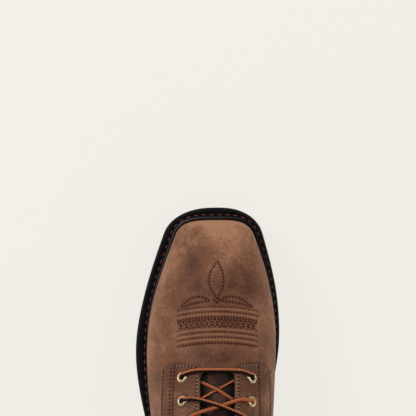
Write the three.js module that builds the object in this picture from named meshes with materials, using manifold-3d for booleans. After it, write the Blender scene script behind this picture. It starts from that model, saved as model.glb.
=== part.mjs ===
// A left work boot: square toe, eight-inch lace-up upper, welted rubber sole with a low heel.
// Millimetres. +Y points to the toe, +X to the inner side of the foot, +Z up.
// The origin is on the floor, under the middle of the heel.

import * as THREE from "three";
import { mergeVertices } from "three/addons/utils/BufferGeometryUtils.js";
import Module from "manifold-3d";

const wasm = await Module();
wasm.setup();

// Driving dimensions of the last and the upper
const LENGTH = 312;
const BALL_WIDTH = 116;
const HEEL_BEHIND = 42;
const UPPER_RISE = 200;
const WALL = 2.2;
const TOE_SETBACK = 10;
const TOE_ROUND = 14;
const TOE_SQUARE = 3.5;
const BACK_ROUND_SEAT = 38;
const BACK_ROUND_COLLAR = 50;
const BACK_SQUARE = 2.2;

// Driving dimensions of the sole
const LUG_DEPTH = 4;
const OUTSOLE = 7.6;
const MIDSOLE = 6;
const WELT = 4.3;
const TOE_SPRING = 10.5;
const HEEL_RISE = 15.5;
const SOLE_TOE_ROUND = 22;
const SOLE_TOE_SQUARE = 2.5;
const SOLE_HEEL_ROUND = 42;
const SOLE_HEEL_SQUARE = 2.3;
const EDGE_STEP = 1.2;
const GROOVE = 5;
const GROOVE_SWEEP_DEG = 11.5;
const LUG_PITCH = 15.5;
const TREAD_RIB = 20;
const HEEL_INSET = 2.4;
const HEEL_TAPER = 0.6;
const BREAST_RADIUS = 116;
const BEAD_WIDTH = 2.4;
const BEAD_RISE = 2.6;
const WELT_SEAT = 3;

// Driving dimensions of the throat, the overlays and the lacing
const THROAT_WIDTH = 27;
const THROAT_CORNER = 6;
const THROAT_FLOOR = 40;
const EYESTAY_WIDTH_LATERAL = 33;
const EYESTAY_WIDTH_MEDIAL = 37;
const EYESTAY_CORNER = 10.5;
const OVERLAY = 1.5;
const COLLAR_HEIGHT = 38;
const COLLAR_THICK = 2.4;
const COLLAR_DIP = 10;
const COUNTER_HEIGHT = 58;
const BACKSTAY_WIDTH = 26;
const TONGUE_WIDTH = 62;
const TONGUE_FRONT_WIDTH = 46.5;
const TONGUE_THICK = 3;
const TONGUE_DROP = 3.4;
const TONGUE_ABOVE = 14;
const INSOLE_ABOVE = 3.5;
const EYELET_PAIRS = 8;
const EYELET_PITCH = 19;
const EYELET_INSET = 13.7;
const EYELET_FLANGE = 4.6;
const EYELET_BARREL = 2.9;
const EYELET_CROWN = 3.45;
const EYELET_HOLE = 1.9;
const EYELET_RISE = 1.3;
const LACE = 3.2;
const CORD_WIDTH = 2.6;
const CORD_RISE = 1;
const CORD_SPAN = 61;
const CORD_BOW = 3.6;

// Clearances between pieces
const CLEAR = 0.3;
const SEAT_CLEAR = 0.5;
const LACE_CLEAR = 0.5;

// Places along the foot, as shares of the length back from the toe tip
const SPRING_FROM = 0.26;
const RISE_FROM = 0.38;
const SEAT_AT = 0.83;
const BREAST_AT = 0.745;
const TREAD_FROM = 0.045;
const TREAD_TO = 0.5;
const THROAT_AT = 0.4;
const THROAT_TO = 0.69;
const EYESTAY_AT = 0.3865;
const EYELET_AT = 0.4215;
const COUNTER_TO = 0.72;
const COUNTER_TOP_TO = 0.93;
const BACKSTAY_TO = 0.85;
const SHAFT_CLEAR_TO = 0.5;
const BEHIND_HEEL = 1.1;

// Front edge of the counter, foot to top: how far back and up, as shares of its height
const COUNTER_EDGE = [
  { back: 0, up: 0 },
  { back: 0.12, up: 0.35 },
  { back: 0.45, up: 0.75 },
];

// Section of the welt's bead, outside to inside: shares of its width and of its rise
const BEAD_SECTION = [
  { out: 1, up: 0 },
  { out: 0.8, up: 0.8 },
  { out: 0.4, up: 1 },
  { out: 0, up: 0.7 },
  { out: 0, up: 0 },
];

// Where a lace strand over the eyestays leaves the line of the eyelets and passes the throat's edge,
// and where one under them passes it, as shares of its way across
const STRAND_LEAVES = 0.22;
const STRAND_EDGE = 0.38;
const UNDER_EDGE = 0.3;

// Outline of the sole: shares of the length and of the ball width
const SOLE_OUTLINE = [
  { along: 0.0, lateral: 0.302, medial: 0.262 },
  { along: 0.1, lateral: 0.402, medial: 0.343 },
  { along: 0.2, lateral: 0.490, medial: 0.412 },
  { along: 0.3, lateral: 0.552, medial: 0.438 },
  { along: 0.38, lateral: 0.571, medial: 0.430 },
  { along: 0.47, lateral: 0.543, medial: 0.380 },
  { along: 0.57, lateral: 0.478, medial: 0.345 },
  { along: 0.67, lateral: 0.422, medial: 0.325 },
  { along: 0.77, lateral: 0.386, medial: 0.318 },
  { along: 0.87, lateral: 0.370, medial: 0.328 },
  { along: 1.0, lateral: 0.366, medial: 0.326 },
];

// Sections of the upper. Each is a fan line in the side view, from its base on the welt or on the
// back line to its ridge on the vamp, instep or shaft front. base and ridge are shares of the length
// from the toe tip, the rises are shares of the upper's rise, the widths are shares of the ball width.
// widest says how far up the fan line the section is widest, tuck how far it draws in at the base,
// and crest how square its crown is.
const SECTION_COLUMNS = [
  "base", "baseRise", "ridge", "ridgeRise", "lateral", "medial", "widest", "tuck", "crest",
];
const SECTIONS = [
  [0.032, 0.000, 0.032, 0.045, 0.247, 0.214, 0.30, 0.985, 2.50],
  [0.042, 0.000, 0.040, 0.112, 0.254, 0.220, 0.30, 0.985, 2.50],
  [0.064, 0.000, 0.063, 0.162, 0.279, 0.246, 0.29, 0.985, 2.40],
  [0.103, 0.000, 0.103, 0.206, 0.319, 0.285, 0.27, 0.980, 2.30],
  [0.160, 0.000, 0.160, 0.243, 0.375, 0.336, 0.25, 0.975, 2.20],
  [0.231, 0.000, 0.228, 0.274, 0.435, 0.377, 0.24, 0.972, 2.10],
  [0.308, 0.000, 0.298, 0.307, 0.473, 0.403, 0.24, 0.970, 2.05],
  [0.391, 0.000, 0.365, 0.341, 0.481, 0.399, 0.25, 0.968, 2.00],
  [0.481, 0.000, 0.430, 0.374, 0.468, 0.389, 0.27, 0.965, 1.95],
  [0.583, 0.000, 0.490, 0.418, 0.437, 0.375, 0.30, 0.945, 1.90],
  [0.692, 0.000, 0.540, 0.470, 0.402, 0.356, 0.33, 0.925, 1.90],
  [0.801, 0.000, 0.577, 0.529, 0.376, 0.342, 0.36, 0.915, 1.95],
  [0.897, 0.000, 0.600, 0.594, 0.359, 0.334, 0.39, 0.915, 2.00],
  [0.971, 0.000, 0.611, 0.656, 0.350, 0.334, 0.42, 0.925, 2.00],
  [0.981, 0.110, 0.616, 0.711, 0.350, 0.338, 0.45, 0.940, 2.00],
  [0.978, 0.235, 0.616, 0.761, 0.354, 0.343, 0.48, 0.965, 2.00],
  [0.958, 0.370, 0.613, 0.811, 0.360, 0.351, 0.50, 0.990, 2.00],
  [0.943, 0.495, 0.610, 0.861, 0.368, 0.360, 0.50, 1.000, 2.00],
  [0.941, 0.620, 0.606, 0.911, 0.377, 0.372, 0.50, 1.000, 2.00],
  [0.949, 0.770, 0.601, 0.966, 0.388, 0.384, 0.50, 1.000, 2.05],
  [0.962, 0.950, 0.596, 1.027, 0.400, 0.400, 0.50, 1.000, 2.10],
].map((row) => Object.fromEntries(row.map((value, k) => [SECTION_COLUMNS[k], value])));
const HEEL_ROW = 13;
const COLLAR_ROW = SECTIONS.length - 1;

// Raised cords stitched across the vamp, as shares of the length from the toe tip
const CORDS_AT = [0.251, 0.2635, 0.2995, 0.3125, 0.325];

// How far the eyestays' front corners round back, in rows of the upper, and how much wider the
// eyestays grow over their first rows
const CORNER_ROWS = 0.28;
const EYESTAY_SPREAD = 0.16;
const SPREAD_ROWS = 2;

// Rows at which the upper is drawn: close where it turns in at the toe and at the heel seat
const TOE_ROWS = [0, 0.12, 0.35, 0.7, 1.1, 1.6, 2.2, 3];
const FOOT_ROWS = [4, 4.7, 5.4, 6.1, 6.8, 7.5, 8.2, 9, 10, 11, 12];
const HEEL_ROWS = [12.5, 12.8, 12.95, 13, 13.5, 14.3];
const SHAFT_ROWS = [15.2, 16.2, 17.4, 18.7, 20];
const DRAWN_ROWS = [...TOE_ROWS, ...FOOT_ROWS, ...HEEL_ROWS, ...SHAFT_ROWS];
const HALF_COLUMNS = 10;
const COLUMN_CROWDING = 0.5;
const SECTION_SAMPLES = 44;
const SOLE_SAMPLES = 25;
const BACK_STEPS = 26;
const BREAST_SIDES = 48;
const BORE_SIDES = 5;
const EYELET_SIDES = 6;
const EYESTAY_STEPS = 16;
const EYESTAY_COLUMNS = 7;
const TONGUE_STEPS = 13;
const TONGUE_COLUMNS = 6;
const CORD_STEPS = 6;

const toeY = LENGTH - HEEL_BEHIND;
const MEDIAL = 1;
const LATERAL = -1;

function atShare(share) {
  return toeY - share * LENGTH;
}

function clamp(value, low, high) {
  return Math.min(Math.max(value, low), high);
}

function smooth(t) {
  return t * t * (3 - 2 * t);
}

// A smooth curve through a table's column: row numbers are its parameter, and it goes straight on
// past the last row
function blend(rows, column, t) {
  const last = rows.length - 1;
  if (t > last) return rows[last][column] + (t - last) * (rows[last][column] - rows[last - 1][column]);
  const i = clamp(Math.floor(t), 0, last - 1);
  const f = t - i;
  const value = (k) => {
    if (k < 0) return 2 * rows[0][column] - rows[1][column];
    if (k > last) return 2 * rows[last][column] - rows[last - 1][column];
    return rows[k][column];
  };
  const before = (1 - f) ** 3 * value(i - 1);
  const start = (3 * f ** 3 - 6 * f * f + 4) * value(i);
  const end = (-3 * f ** 3 + 3 * f * f + 3 * f + 1) * value(i + 1);
  return (before + start + end + f ** 3 * value(i + 2)) / 6;
}

// How far the sole's underside stands off the floor: flat at the ball, sprung at the toe,
// raised at the heel
function soleLift(y) {
  const springY = atShare(SPRING_FROM);
  if (y > springY) return TOE_SPRING * ((y - springY) / (toeY - springY)) ** 2;
  const t = (atShare(RISE_FROM) - y) / (atShare(RISE_FROM) - atShare(SEAT_AT));
  return HEEL_RISE * smooth(clamp(t, 0, 1));
}

const outsoleTop = LUG_DEPTH + OUTSOLE;
const midsoleTop = outsoleTop + CLEAR + MIDSOLE;
const weltTop = midsoleTop + CLEAR + WELT;

function roundEnd(distance, depth, square) {
  const t = clamp((depth - distance) / depth, 0, 1);
  return (1 - t ** square) ** (1 / square);
}

const footRows = SECTIONS.slice(0, HEEL_ROW + 1);
const backRows = SECTIONS.slice(HEEL_ROW);
const seatZ = soleLift(-HEEL_BEHIND) + weltTop + SEAT_CLEAR;

function basePoint(u) {
  if (u <= HEEL_ROW) {
    const y = atShare(blend(footRows, "base", u));
    return { y, z: soleLift(y) + weltTop + SEAT_CLEAR };
  }
  const k = u - HEEL_ROW;
  return { y: atShare(blend(backRows, "base", k)), z: seatZ + UPPER_RISE * blend(backRows, "baseRise", k) };
}

function ridgePoint(u) {
  const y = atShare(blend(SECTIONS, "ridge", u));
  return { y, z: soleLift(y) + weltTop + SEAT_CLEAR + UPPER_RISE * blend(SECTIONS, "ridgeRise", u) };
}

// The back line: y for a height above the heel seat
function backLine(z) {
  let low = HEEL_ROW;
  let high = COLLAR_ROW + 2;
  for (let i = 0; i < BACK_STEPS; i += 1) {
    const middle = (low + high) / 2;
    if (basePoint(middle).z < z) low = middle;
    else high = middle;
  }
  return basePoint(low).y;
}

function halfWidth(u, s, side, y, z) {
  const widest = blend(SECTIONS, "widest", u);
  const tuck = blend(SECTIONS, "tuck", u);
  const crest = blend(SECTIONS, "crest", u);
  const full = BALL_WIDTH * blend(SECTIONS, side > 0 ? "medial" : "lateral", u);
  const under = clamp(1 - s / widest, 0, 1);
  const over = clamp((s - widest) / (1 - widest), 0, 1);
  const low = Math.sqrt(1 - (1 - tuck * tuck) * under * under);
  const crown = (1 - over ** crest) ** (1 / crest);
  const rise = clamp((z - seatZ) / UPPER_RISE, 0, 1);
  const backDepth = BACK_ROUND_SEAT + (BACK_ROUND_COLLAR - BACK_ROUND_SEAT) * rise;
  const toe = roundEnd(atShare(0) - TOE_SETBACK - y, TOE_ROUND, TOE_SQUARE);
  const back = roundEnd(y - backLine(z), backDepth, BACK_SQUARE);
  return full * low * crown * toe * back;
}

// One side of one section, from the ridge down to the base, with its running length
const sectionsDrawn = new Map();
function section(u, side) {
  const key = `${u.toFixed(5)} ${side}`;
  if (sectionsDrawn.has(key)) return sectionsDrawn.get(key);
  const base = basePoint(u);
  const ridge = ridgePoint(u);
  const points = [];
  const lengths = [0];
  for (let k = 0; k <= SECTION_SAMPLES; k += 1) {
    const s = (1 + Math.cos((Math.PI * k) / SECTION_SAMPLES)) / 2;
    const y = base.y + (ridge.y - base.y) * s;
    const z = base.z + (ridge.z - base.z) * s;
    const closed = k === 0 || u === 0 || (k === SECTION_SAMPLES && u >= HEEL_ROW);
    const x = closed ? 0 : side * halfWidth(u, s, side, y, z);
    points.push(new THREE.Vector3(x, y, z));
    if (k > 0) lengths.push(lengths[k - 1] + points[k].distanceTo(points[k - 1]));
  }
  const drawn = { points, lengths, girth: lengths[SECTION_SAMPLES] };
  sectionsDrawn.set(key, drawn);
  return drawn;
}

// A point on the upper's outer face: row u, side, and the share of the girth down from the ridge
function onUpper(u, side, share) {
  const { points, lengths, girth } = section(u, side);
  const target = clamp(share, 0, 1) * girth;
  let k = 1;
  while (k < SECTION_SAMPLES && lengths[k] < target) k += 1;
  const step = lengths[k] - lengths[k - 1];
  const f = step > 0 ? (target - lengths[k - 1]) / step : 0;
  return points[k - 1].clone().lerp(points[k], f);
}

function normalAt(u, side, share) {
  const du = 0.04;
  const ds = 0.012;
  const rowStep = onUpper(u + du, side, share).sub(onUpper(u - du, side, share));
  const downStep = onUpper(u, side, share + ds).sub(onUpper(u, side, share - ds));
  const normal = rowStep.cross(downStep).multiplyScalar(side);
  if (share === 0) normal.x = 0;
  return normal.normalize();
}

// The share of the girth at which the upper is a given distance from the middle plane
function shareAcross(u, side, across) {
  const { points, lengths, girth } = section(u, side);
  for (let k = 1; k <= SECTION_SAMPLES; k += 1) {
    if (Math.abs(points[k].x) >= across) {
      const inner = Math.abs(points[k - 1].x);
      const f = (across - inner) / (Math.abs(points[k].x) - inner);
      return (lengths[k - 1] + f * (lengths[k] - lengths[k - 1])) / girth;
    }
  }
  return 0.5;
}

function throatShare(u, side, beyond) {
  return shareAcross(u, side, THROAT_WIDTH / 2) + beyond / section(u, side).girth;
}

// The row at which the upper crosses a given y, some way across
function rowAt(y, side, across) {
  let low = 0;
  let high = HEEL_ROW;
  for (let i = 0; i < BACK_STEPS; i += 1) {
    const middle = (low + high) / 2;
    if (onUpper(middle, side, shareAcross(middle, side, across)).y > y) low = middle;
    else high = middle;
  }
  return (low + high) / 2;
}

// Closed bodies
function solid(vertices, triangles) {
  const vertProperties = new Float32Array(vertices);
  const triVerts = new Uint32Array(triangles);
  return new wasm.Manifold(new wasm.Mesh({ numProp: 3, vertProperties, triVerts }));
}

function solidOf(geometry) {
  const bare = geometry.clone();
  bare.deleteAttribute("normal");
  bare.deleteAttribute("uv");
  const merged = mergeVertices(bare, 1e-4);
  return solid(merged.attributes.position.array, merged.index.array);
}

function geometryOf(body) {
  const mesh = body.getMesh();
  const geometry = new THREE.BufferGeometry();
  geometry.setAttribute("position", new THREE.BufferAttribute(new Float32Array(mesh.vertProperties), 3));
  geometry.setIndex(new THREE.BufferAttribute(new Uint32Array(mesh.triVerts), 1));
  const flat = geometry.toNonIndexed();
  flat.computeVertexNormals();
  return flat;
}

// A sheet of points given a thickness between two offsets along its own normals. Each four-sided
// cell is split along its shorter diagonal.
function skin(rows, inner, outer) {
  const places = new Map();
  const points = [];
  const numbers = rows.map((row) => row.map((point) => {
    const key = point.toArray().map((value) => value.toFixed(3)).join();
    if (!places.has(key)) {
      places.set(key, points.length);
      points.push(point);
    }
    return places.get(key);
  }));
  const faces = [];
  for (let i = 0; i + 1 < rows.length; i += 1) {
    for (let j = 0; j + 1 < rows[i].length; j += 1) {
      const [a, b, c, d] = [numbers[i][j], numbers[i + 1][j], numbers[i + 1][j + 1], numbers[i][j + 1]];
      const halves = points[a].distanceTo(points[c]) < points[b].distanceTo(points[d])
        ? [[a, b, c], [a, c, d]] : [[a, b, d], [b, c, d]];
      faces.push(...halves.filter(([from, via, to]) => from !== via && via !== to && from !== to));
    }
  }
  const normals = points.map(() => new THREE.Vector3());
  const edges = new Map();
  for (const face of faces) {
    const [a, b, c] = face.map((k) => points[k]);
    const across = b.clone().sub(a).cross(c.clone().sub(a));
    for (const k of face) normals[k].add(across);
    face.forEach((from, k) => edges.set(`${from} ${face[(k + 1) % 3]}`, [from, face[(k + 1) % 3]]));
  }
  const offset = (distance) => points.map((point, k) => (
    point.clone().addScaledVector(normals[k].clone().normalize(), distance)));
  const count = points.length;
  const triangles = [];
  for (const [a, b, c] of faces) triangles.push(a, b, c, count + a, count + c, count + b);
  for (const [from, to] of edges.values()) {
    if (!edges.has(`${to} ${from}`)) {
      triangles.push(from, count + from, to, to, count + from, count + to);
    }
  }
  return solid([...offset(outer), ...offset(inner)].flatMap((point) => point.toArray()), triangles);
}

// Columns lie closer together where the section turns, over the ridge and round the heel
function columnShare(t) {
  return t - (COLUMN_CROWDING * Math.sin(2 * Math.PI * t)) / (2 * Math.PI);
}

// The whole upper as a sheet: columns run from the lateral base over the ridge to the medial base
function upperSheet(drawnRows) {
  return drawnRows.map((u) => {
    const row = [];
    for (let j = -HALF_COLUMNS; j <= HALF_COLUMNS; j += 1) {
      const side = j < 0 ? LATERAL : MEDIAL;
      row.push(onUpper(u, side, columnShare(Math.abs(j) / HALF_COLUMNS)));
    }
    return row;
  });
}
const wholeSheet = upperSheet(DRAWN_ROWS);

function shell(inner, outer) {
  return skin(wholeSheet, inner, outer);
}

// A prism across the boot from a shape drawn in the side view, and one down through it from a plan
function sidePrism(corners) {
  const shape = new THREE.Shape(corners.map(([y, z]) => new THREE.Vector2(y, z)));
  const geometry = new THREE.ExtrudeGeometry(shape, { depth: 2 * BALL_WIDTH, bevelEnabled: false });
  geometry.translate(0, 0, -BALL_WIDTH);
  geometry.rotateX(Math.PI / 2);
  geometry.rotateZ(Math.PI / 2);
  return solidOf(geometry);
}

function planPrism(shape, bottom, top) {
  const geometry = new THREE.ExtrudeGeometry(shape, { depth: top - bottom, bevelEnabled: false });
  geometry.translate(0, 0, bottom);
  return solidOf(geometry);
}

function block(low, high) {
  const geometry = new THREE.BoxGeometry(high[0] - low[0], high[1] - low[1], high[2] - low[2]);
  geometry.translate((low[0] + high[0]) / 2, (low[1] + high[1]) / 2, (low[2] + high[2]) / 2);
  return solidOf(geometry);
}

const collarZ = seatZ + UPPER_RISE;
const farZ = collarZ + UPPER_RISE;

function throatSlot() {
  const half = THROAT_WIDTH / 2;
  const front = atShare(THROAT_AT);
  const back = atShare(THROAT_TO);
  const shape = new THREE.Shape();
  shape.moveTo(-half, back);
  shape.lineTo(half, back);
  shape.lineTo(half, front - THROAT_CORNER);
  shape.absarc(half - THROAT_CORNER, front - THROAT_CORNER, THROAT_CORNER, 0, Math.PI / 2, false);
  shape.absarc(THROAT_CORNER - half, front - THROAT_CORNER, THROAT_CORNER, Math.PI / 2, Math.PI, false);
  return planPrism(shape, weltTop + THROAT_FLOOR, farZ);
}

// Where the eyelets sit: rows spaced along the line down the middle of each eyestay
function eyeletRows() {
  const rows = [];
  const start = rowAt(atShare(EYELET_AT), MEDIAL, THROAT_WIDTH / 2 + EYELET_INSET);
  const step = 0.02;
  let walked = 0;
  let last = onUpper(start, MEDIAL, throatShare(start, MEDIAL, EYELET_INSET));
  for (let u = start; rows.length < EYELET_PAIRS && u < COLLAR_ROW; u += step) {
    const next = onUpper(u, MEDIAL, throatShare(u, MEDIAL, EYELET_INSET));
    walked += next.distanceTo(last);
    last = next;
    if (walked >= rows.length * EYELET_PITCH) rows.push(u);
  }
  return rows;
}
const eyeletRow = eyeletRows();

function eyeletSeat(u, side) {
  const share = throatShare(u, side, EYELET_INSET);
  return { point: onUpper(u, side, share), normal: normalAt(u, side, share) };
}
const seats = [];
for (const [index, u] of eyeletRow.entries()) {
  for (const side of [LATERAL, MEDIAL]) seats.push({ index, side, ...eyeletSeat(u, side) });
}

function turnedTo(normal) {
  return new THREE.Quaternion().setFromUnitVectors(new THREE.Vector3(0, 1, 0), normal);
}

function eyeletBore({ point, normal }) {
  const reach = WALL + OVERLAY + EYELET_RISE;
  const radius = (EYELET_BARREL + CLEAR) / Math.cos(Math.PI / BORE_SIDES);
  const geometry = new THREE.CylinderGeometry(radius, radius, 4 * reach, BORE_SIDES);
  geometry.applyQuaternion(turnedTo(normal));
  geometry.translate(point.x, point.y, point.z);
  return solidOf(geometry);
}

function joined(bodies) {
  return bodies.reduce((whole, body) => whole.add(body));
}
const bores = joined(seats.map(eyeletBore));

// A cord raised on the vamp, bowed forward in the middle
function toeCord(along) {
  const half = CORD_SPAN / 2;
  const rows = [-0.5, 0.5].map((edge) => {
    const row = [];
    for (let j = 0; j <= CORD_STEPS; j += 1) {
      const x = half * (1 - (2 * j) / CORD_STEPS);
      const side = x < 0 ? LATERAL : MEDIAL;
      const y = atShare(along) - CORD_BOW * (x / half) ** 2 + edge * CORD_WIDTH;
      const u = rowAt(y, side, Math.abs(x));
      row.push(onUpper(u, side, shareAcross(u, side, Math.abs(x))));
    }
    return row;
  });
  return skin(rows, -WALL / 2, CORD_RISE);
}

function makeUpper() {
  const cords = CORDS_AT.map((along) => toeCord(along));
  return joined([shell(-WALL, 0), ...cords]).subtract(throatSlot()).subtract(bores);
}

// A patch of the upper beside the throat, with rounded front corners
function makeEyestay(side) {
  const width = side > 0 ? EYESTAY_WIDTH_MEDIAL : EYESTAY_WIDTH_LATERAL;
  const front = rowAt(atShare(EYESTAY_AT), side, THROAT_WIDTH / 2 + EYELET_INSET);
  const rows = [];
  for (let i = 0; i <= EYESTAY_STEPS; i += 1) {
    const row = [];
    for (let j = 0; j <= EYESTAY_COLUMNS; j += 1) {
      const across = (width * j) / EYESTAY_COLUMNS;
      const corner = Math.max(0, 1 - Math.min(across, width - across) / EYESTAY_CORNER);
      const start = front + CORNER_ROWS * (1 - Math.sqrt(1 - corner * corner));
      const u = start + ((COLLAR_ROW - start) * i) / EYESTAY_STEPS;
      const spread = 1 + EYESTAY_SPREAD * smooth(clamp((u - front) / SPREAD_ROWS, 0, 1));
      const share = throatShare(u, side, CLEAR + across * spread);
      row.push(onUpper(u, side, share));
    }
    rows.push(side > 0 ? row : row.reverse());
  }
  const patch = skin(rows, -WALL / 2, CLEAR + OVERLAY);
  return largest(patch.subtract(grownUpper).subtract(collarBand).subtract(bores));
}

// What the overlays are cut by: the upper with the clearance around it
const grownUpper = shell(-WALL, CLEAR);
const behindHeel = atShare(BEHIND_HEEL);
const aheadOfShaft = atShare(SHAFT_CLEAR_TO);
const collarLow = collarZ - COLLAR_HEIGHT;
const collarBand = sidePrism([
  [behindHeel, collarLow - COLLAR_DIP - CLEAR],
  [aheadOfShaft, collarLow - CLEAR],
  [aheadOfShaft, farZ],
  [behindHeel, farZ],
]);

function largest(body) {
  return body.decompose().reduce((best, piece) => (piece.volume() > best.volume() ? piece : best));
}

function overlay(thick) {
  return shell(-WALL / 2, CLEAR + thick).subtract(grownUpper);
}

function makeCollar() {
  const [back, front] = [basePoint(COLLAR_ROW), ridgePoint(COLLAR_ROW)];
  const slope = (front.z - back.z) / (front.y - back.y);
  const rim = (y) => back.z + slope * (y - back.y) - CLEAR;
  const band = sidePrism([
    [behindHeel, collarLow - COLLAR_DIP],
    [aheadOfShaft, collarLow],
    [aheadOfShaft, rim(aheadOfShaft)],
    [behindHeel, rim(behindHeel)],
  ]);
  return largest(overlay(COLLAR_THICK).intersect(band).subtract(throatSlot()).subtract(bores));
}

function makeCounter() {
  const front = atShare(COUNTER_TO);
  const top = seatZ + COUNTER_HEIGHT;
  const overBead = weltTop + BEAD_RISE + 2 * CLEAR;
  const foot = soleLift(front) + overBead;
  const edge = COUNTER_EDGE.map(({ back, up }) => [front - COUNTER_HEIGHT * back, foot + (top - foot) * up]);
  return largest(overlay(OVERLAY).intersect(sidePrism([
    [behindHeel, HEEL_RISE + overBead],
    [atShare(SEAT_AT), HEEL_RISE + overBead],
    ...edge,
    [atShare(COUNTER_TOP_TO), top],
    [behindHeel, top],
  ])));
}

function makeBackstay() {
  const half = BACKSTAY_WIDTH / 2;
  const low = seatZ + COUNTER_HEIGHT + CLEAR;
  const strip = block([-half, behindHeel, low], [half, atShare(BACKSTAY_TO), collarZ]);
  return largest(overlay(OVERLAY).intersect(strip).subtract(collarBand));
}

// The tongue lies under the throat, sewn in at its front and lower than the wall behind that
function makeTongue() {
  const front = rowAt(atShare(THROAT_AT) + 2 * THROAT_CORNER, MEDIAL, 1);
  const rise = ridgePoint(COLLAR_ROW).z - ridgePoint(COLLAR_ROW - 1).z;
  const end = COLLAR_ROW + TONGUE_ABOVE / rise;
  const dropSteps = 3;
  const widenSteps = 4;
  const rows = [];
  for (let i = 0; i <= TONGUE_STEPS; i += 1) {
    const u = front + ((end - front) * i) / TONGUE_STEPS;
    const drop = TONGUE_DROP * smooth(clamp(i / dropSteps, 0, 1));
    const widened = smooth(clamp(i / widenSteps, 0, 1));
    const width = TONGUE_FRONT_WIDTH + (TONGUE_WIDTH - TONGUE_FRONT_WIDTH) * widened;
    const row = [];
    for (let j = 0; j <= TONGUE_COLUMNS; j += 1) {
      const across = width * (j / TONGUE_COLUMNS - 0.5);
      const side = across < 0 ? LATERAL : MEDIAL;
      const share = Math.abs(across) / section(u, side).girth;
      row.push(onUpper(u, side, share).addScaledVector(normalAt(u, side, share), -drop));
    }
    rows.push(row);
  }
  return skin(rows, -WALL - TONGUE_THICK - 2 * CLEAR, -WALL - 2 * CLEAR);
}

// Loops around the sole: down the lateral side from the heel, round the toe and back. Each loop
// has the same number of points, so loops can be lofted one to the next.
function soleHalf(y, side) {
  let low = 0;
  let high = SOLE_OUTLINE.length - 1;
  for (let i = 0; i < BACK_STEPS; i += 1) {
    const middle = (low + high) / 2;
    if (atShare(blend(SOLE_OUTLINE, "along", middle)) > y) low = middle;
    else high = middle;
  }
  const width = BALL_WIDTH * blend(SOLE_OUTLINE, side > 0 ? "medial" : "lateral", low);
  const toe = roundEnd(toeY - y, SOLE_TOE_ROUND, SOLE_TOE_SQUARE);
  const heel = roundEnd(y + HEEL_BEHIND, SOLE_HEEL_ROUND, SOLE_HEEL_SQUARE);
  return width * toe * heel;
}

function featherHalf(y, side) {
  let low = 0;
  let high = HEEL_ROW;
  for (let i = 0; i < BACK_STEPS; i += 1) {
    const middle = (low + high) / 2;
    if (basePoint(middle).y > y) low = middle;
    else high = middle;
  }
  const base = basePoint(low);
  return halfWidth(low, 0, side, base.y, base.z);
}

function loop(half, backY, frontY, grow) {
  const points = [];
  const last = 2 * SOLE_SAMPLES;
  for (let i = 0; i < last; i += 1) {
    const side = i < SOLE_SAMPLES ? LATERAL : MEDIAL;
    const y = backY + ((frontY - backY) * (1 - Math.cos((Math.PI * i) / SOLE_SAMPLES))) / 2;
    const atEnd = i % SOLE_SAMPLES === 0;
    points.push(new THREE.Vector2(atEnd ? 0 : side * half(y, side), y));
  }
  return points.map((point, i) => {
    const ahead = points[(i + 1) % last];
    const behind = points[(i + last - 1) % last];
    const along = ahead.clone().sub(behind).normalize();
    return point.clone().add(new THREE.Vector2(-along.y, along.x).multiplyScalar(grow));
  });
}

function soleLoop(inset) {
  return loop(soleHalf, -HEEL_BEHIND, toeY, -inset);
}

function featherLoop(grow) {
  return loop(featherHalf, basePoint(HEEL_ROW).y, basePoint(0).y, grow);
}

function lifted(points, height) {
  return points.map(({ x, y }) => new THREE.Vector3(x, y, soleLift(y) + height));
}

function level(points, height) {
  return points.map(({ x, y }) => new THREE.Vector3(x, y, height));
}

// Loops lofted bottom to top and capped across, or closed on themselves as a ring
function loft(loops, ring) {
  const count = loops[0].length;
  const triangles = [];
  const bands = ring ? loops.length : loops.length - 1;
  for (let k = 0; k < bands; k += 1) {
    const low = k * count;
    const high = ((k + 1) % loops.length) * count;
    for (let i = 0; i < count; i += 1) {
      const next = (i + 1) % count;
      triangles.push(low + i, high + i, high + next, low + i, high + next, low + next);
    }
  }
  if (!ring) {
    const top = (loops.length - 1) * count;
    for (let i = 0; i < count / 2; i += 1) {
      const [a, b] = [i, i + 1];
      const [c, d] = [(count - i) % count, count - i - 1];
      if (a !== c) triangles.push(a, b, c, top + a, top + c, top + b);
      if (b !== d) triangles.push(b, d, c, top + b, top + c, top + d);
    }
  }
  return solid(loops.flat().flatMap((point) => point.toArray()), triangles);
}

// Grooves of the tread, cut up into the outsole from below
function treadGrooves() {
  const cuts = [];
  for (let y = atShare(TREAD_FROM); y > atShare(TREAD_TO); y -= LUG_PITCH) {
    for (const side of [LATERAL, MEDIAL]) {
      const geometry = new THREE.BoxGeometry(BALL_WIDTH, GROOVE, 2 * BALL_WIDTH);
      geometry.translate((side * (BALL_WIDTH + TREAD_RIB)) / 2, 0, 0);
      geometry.rotateZ(side * THREE.MathUtils.degToRad(GROOVE_SWEEP_DEG));
      geometry.translate(0, y, 0);
      cuts.push(solidOf(geometry));
    }
  }
  const arch = block([-BALL_WIDTH, behindHeel, -BALL_WIDTH], [BALL_WIDTH, atShare(TREAD_TO), BALL_WIDTH]);
  const around = soleLoop(-2 * GROOVE);
  const lugs = loft([lifted(around, -LUG_DEPTH), lifted(around, LUG_DEPTH)], false);
  return lugs.intersect(joined([...cuts, arch]));
}

function makeOutsole() {
  return loft([
    lifted(soleLoop(2 * EDGE_STEP), 0),
    lifted(soleLoop(EDGE_STEP / 2), LUG_DEPTH / 2),
    lifted(soleLoop(EDGE_STEP / 2), LUG_DEPTH),
    lifted(soleLoop(0), LUG_DEPTH + EDGE_STEP),
    lifted(soleLoop(0), outsoleTop),
  ], false).subtract(treadGrooves());
}

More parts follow.
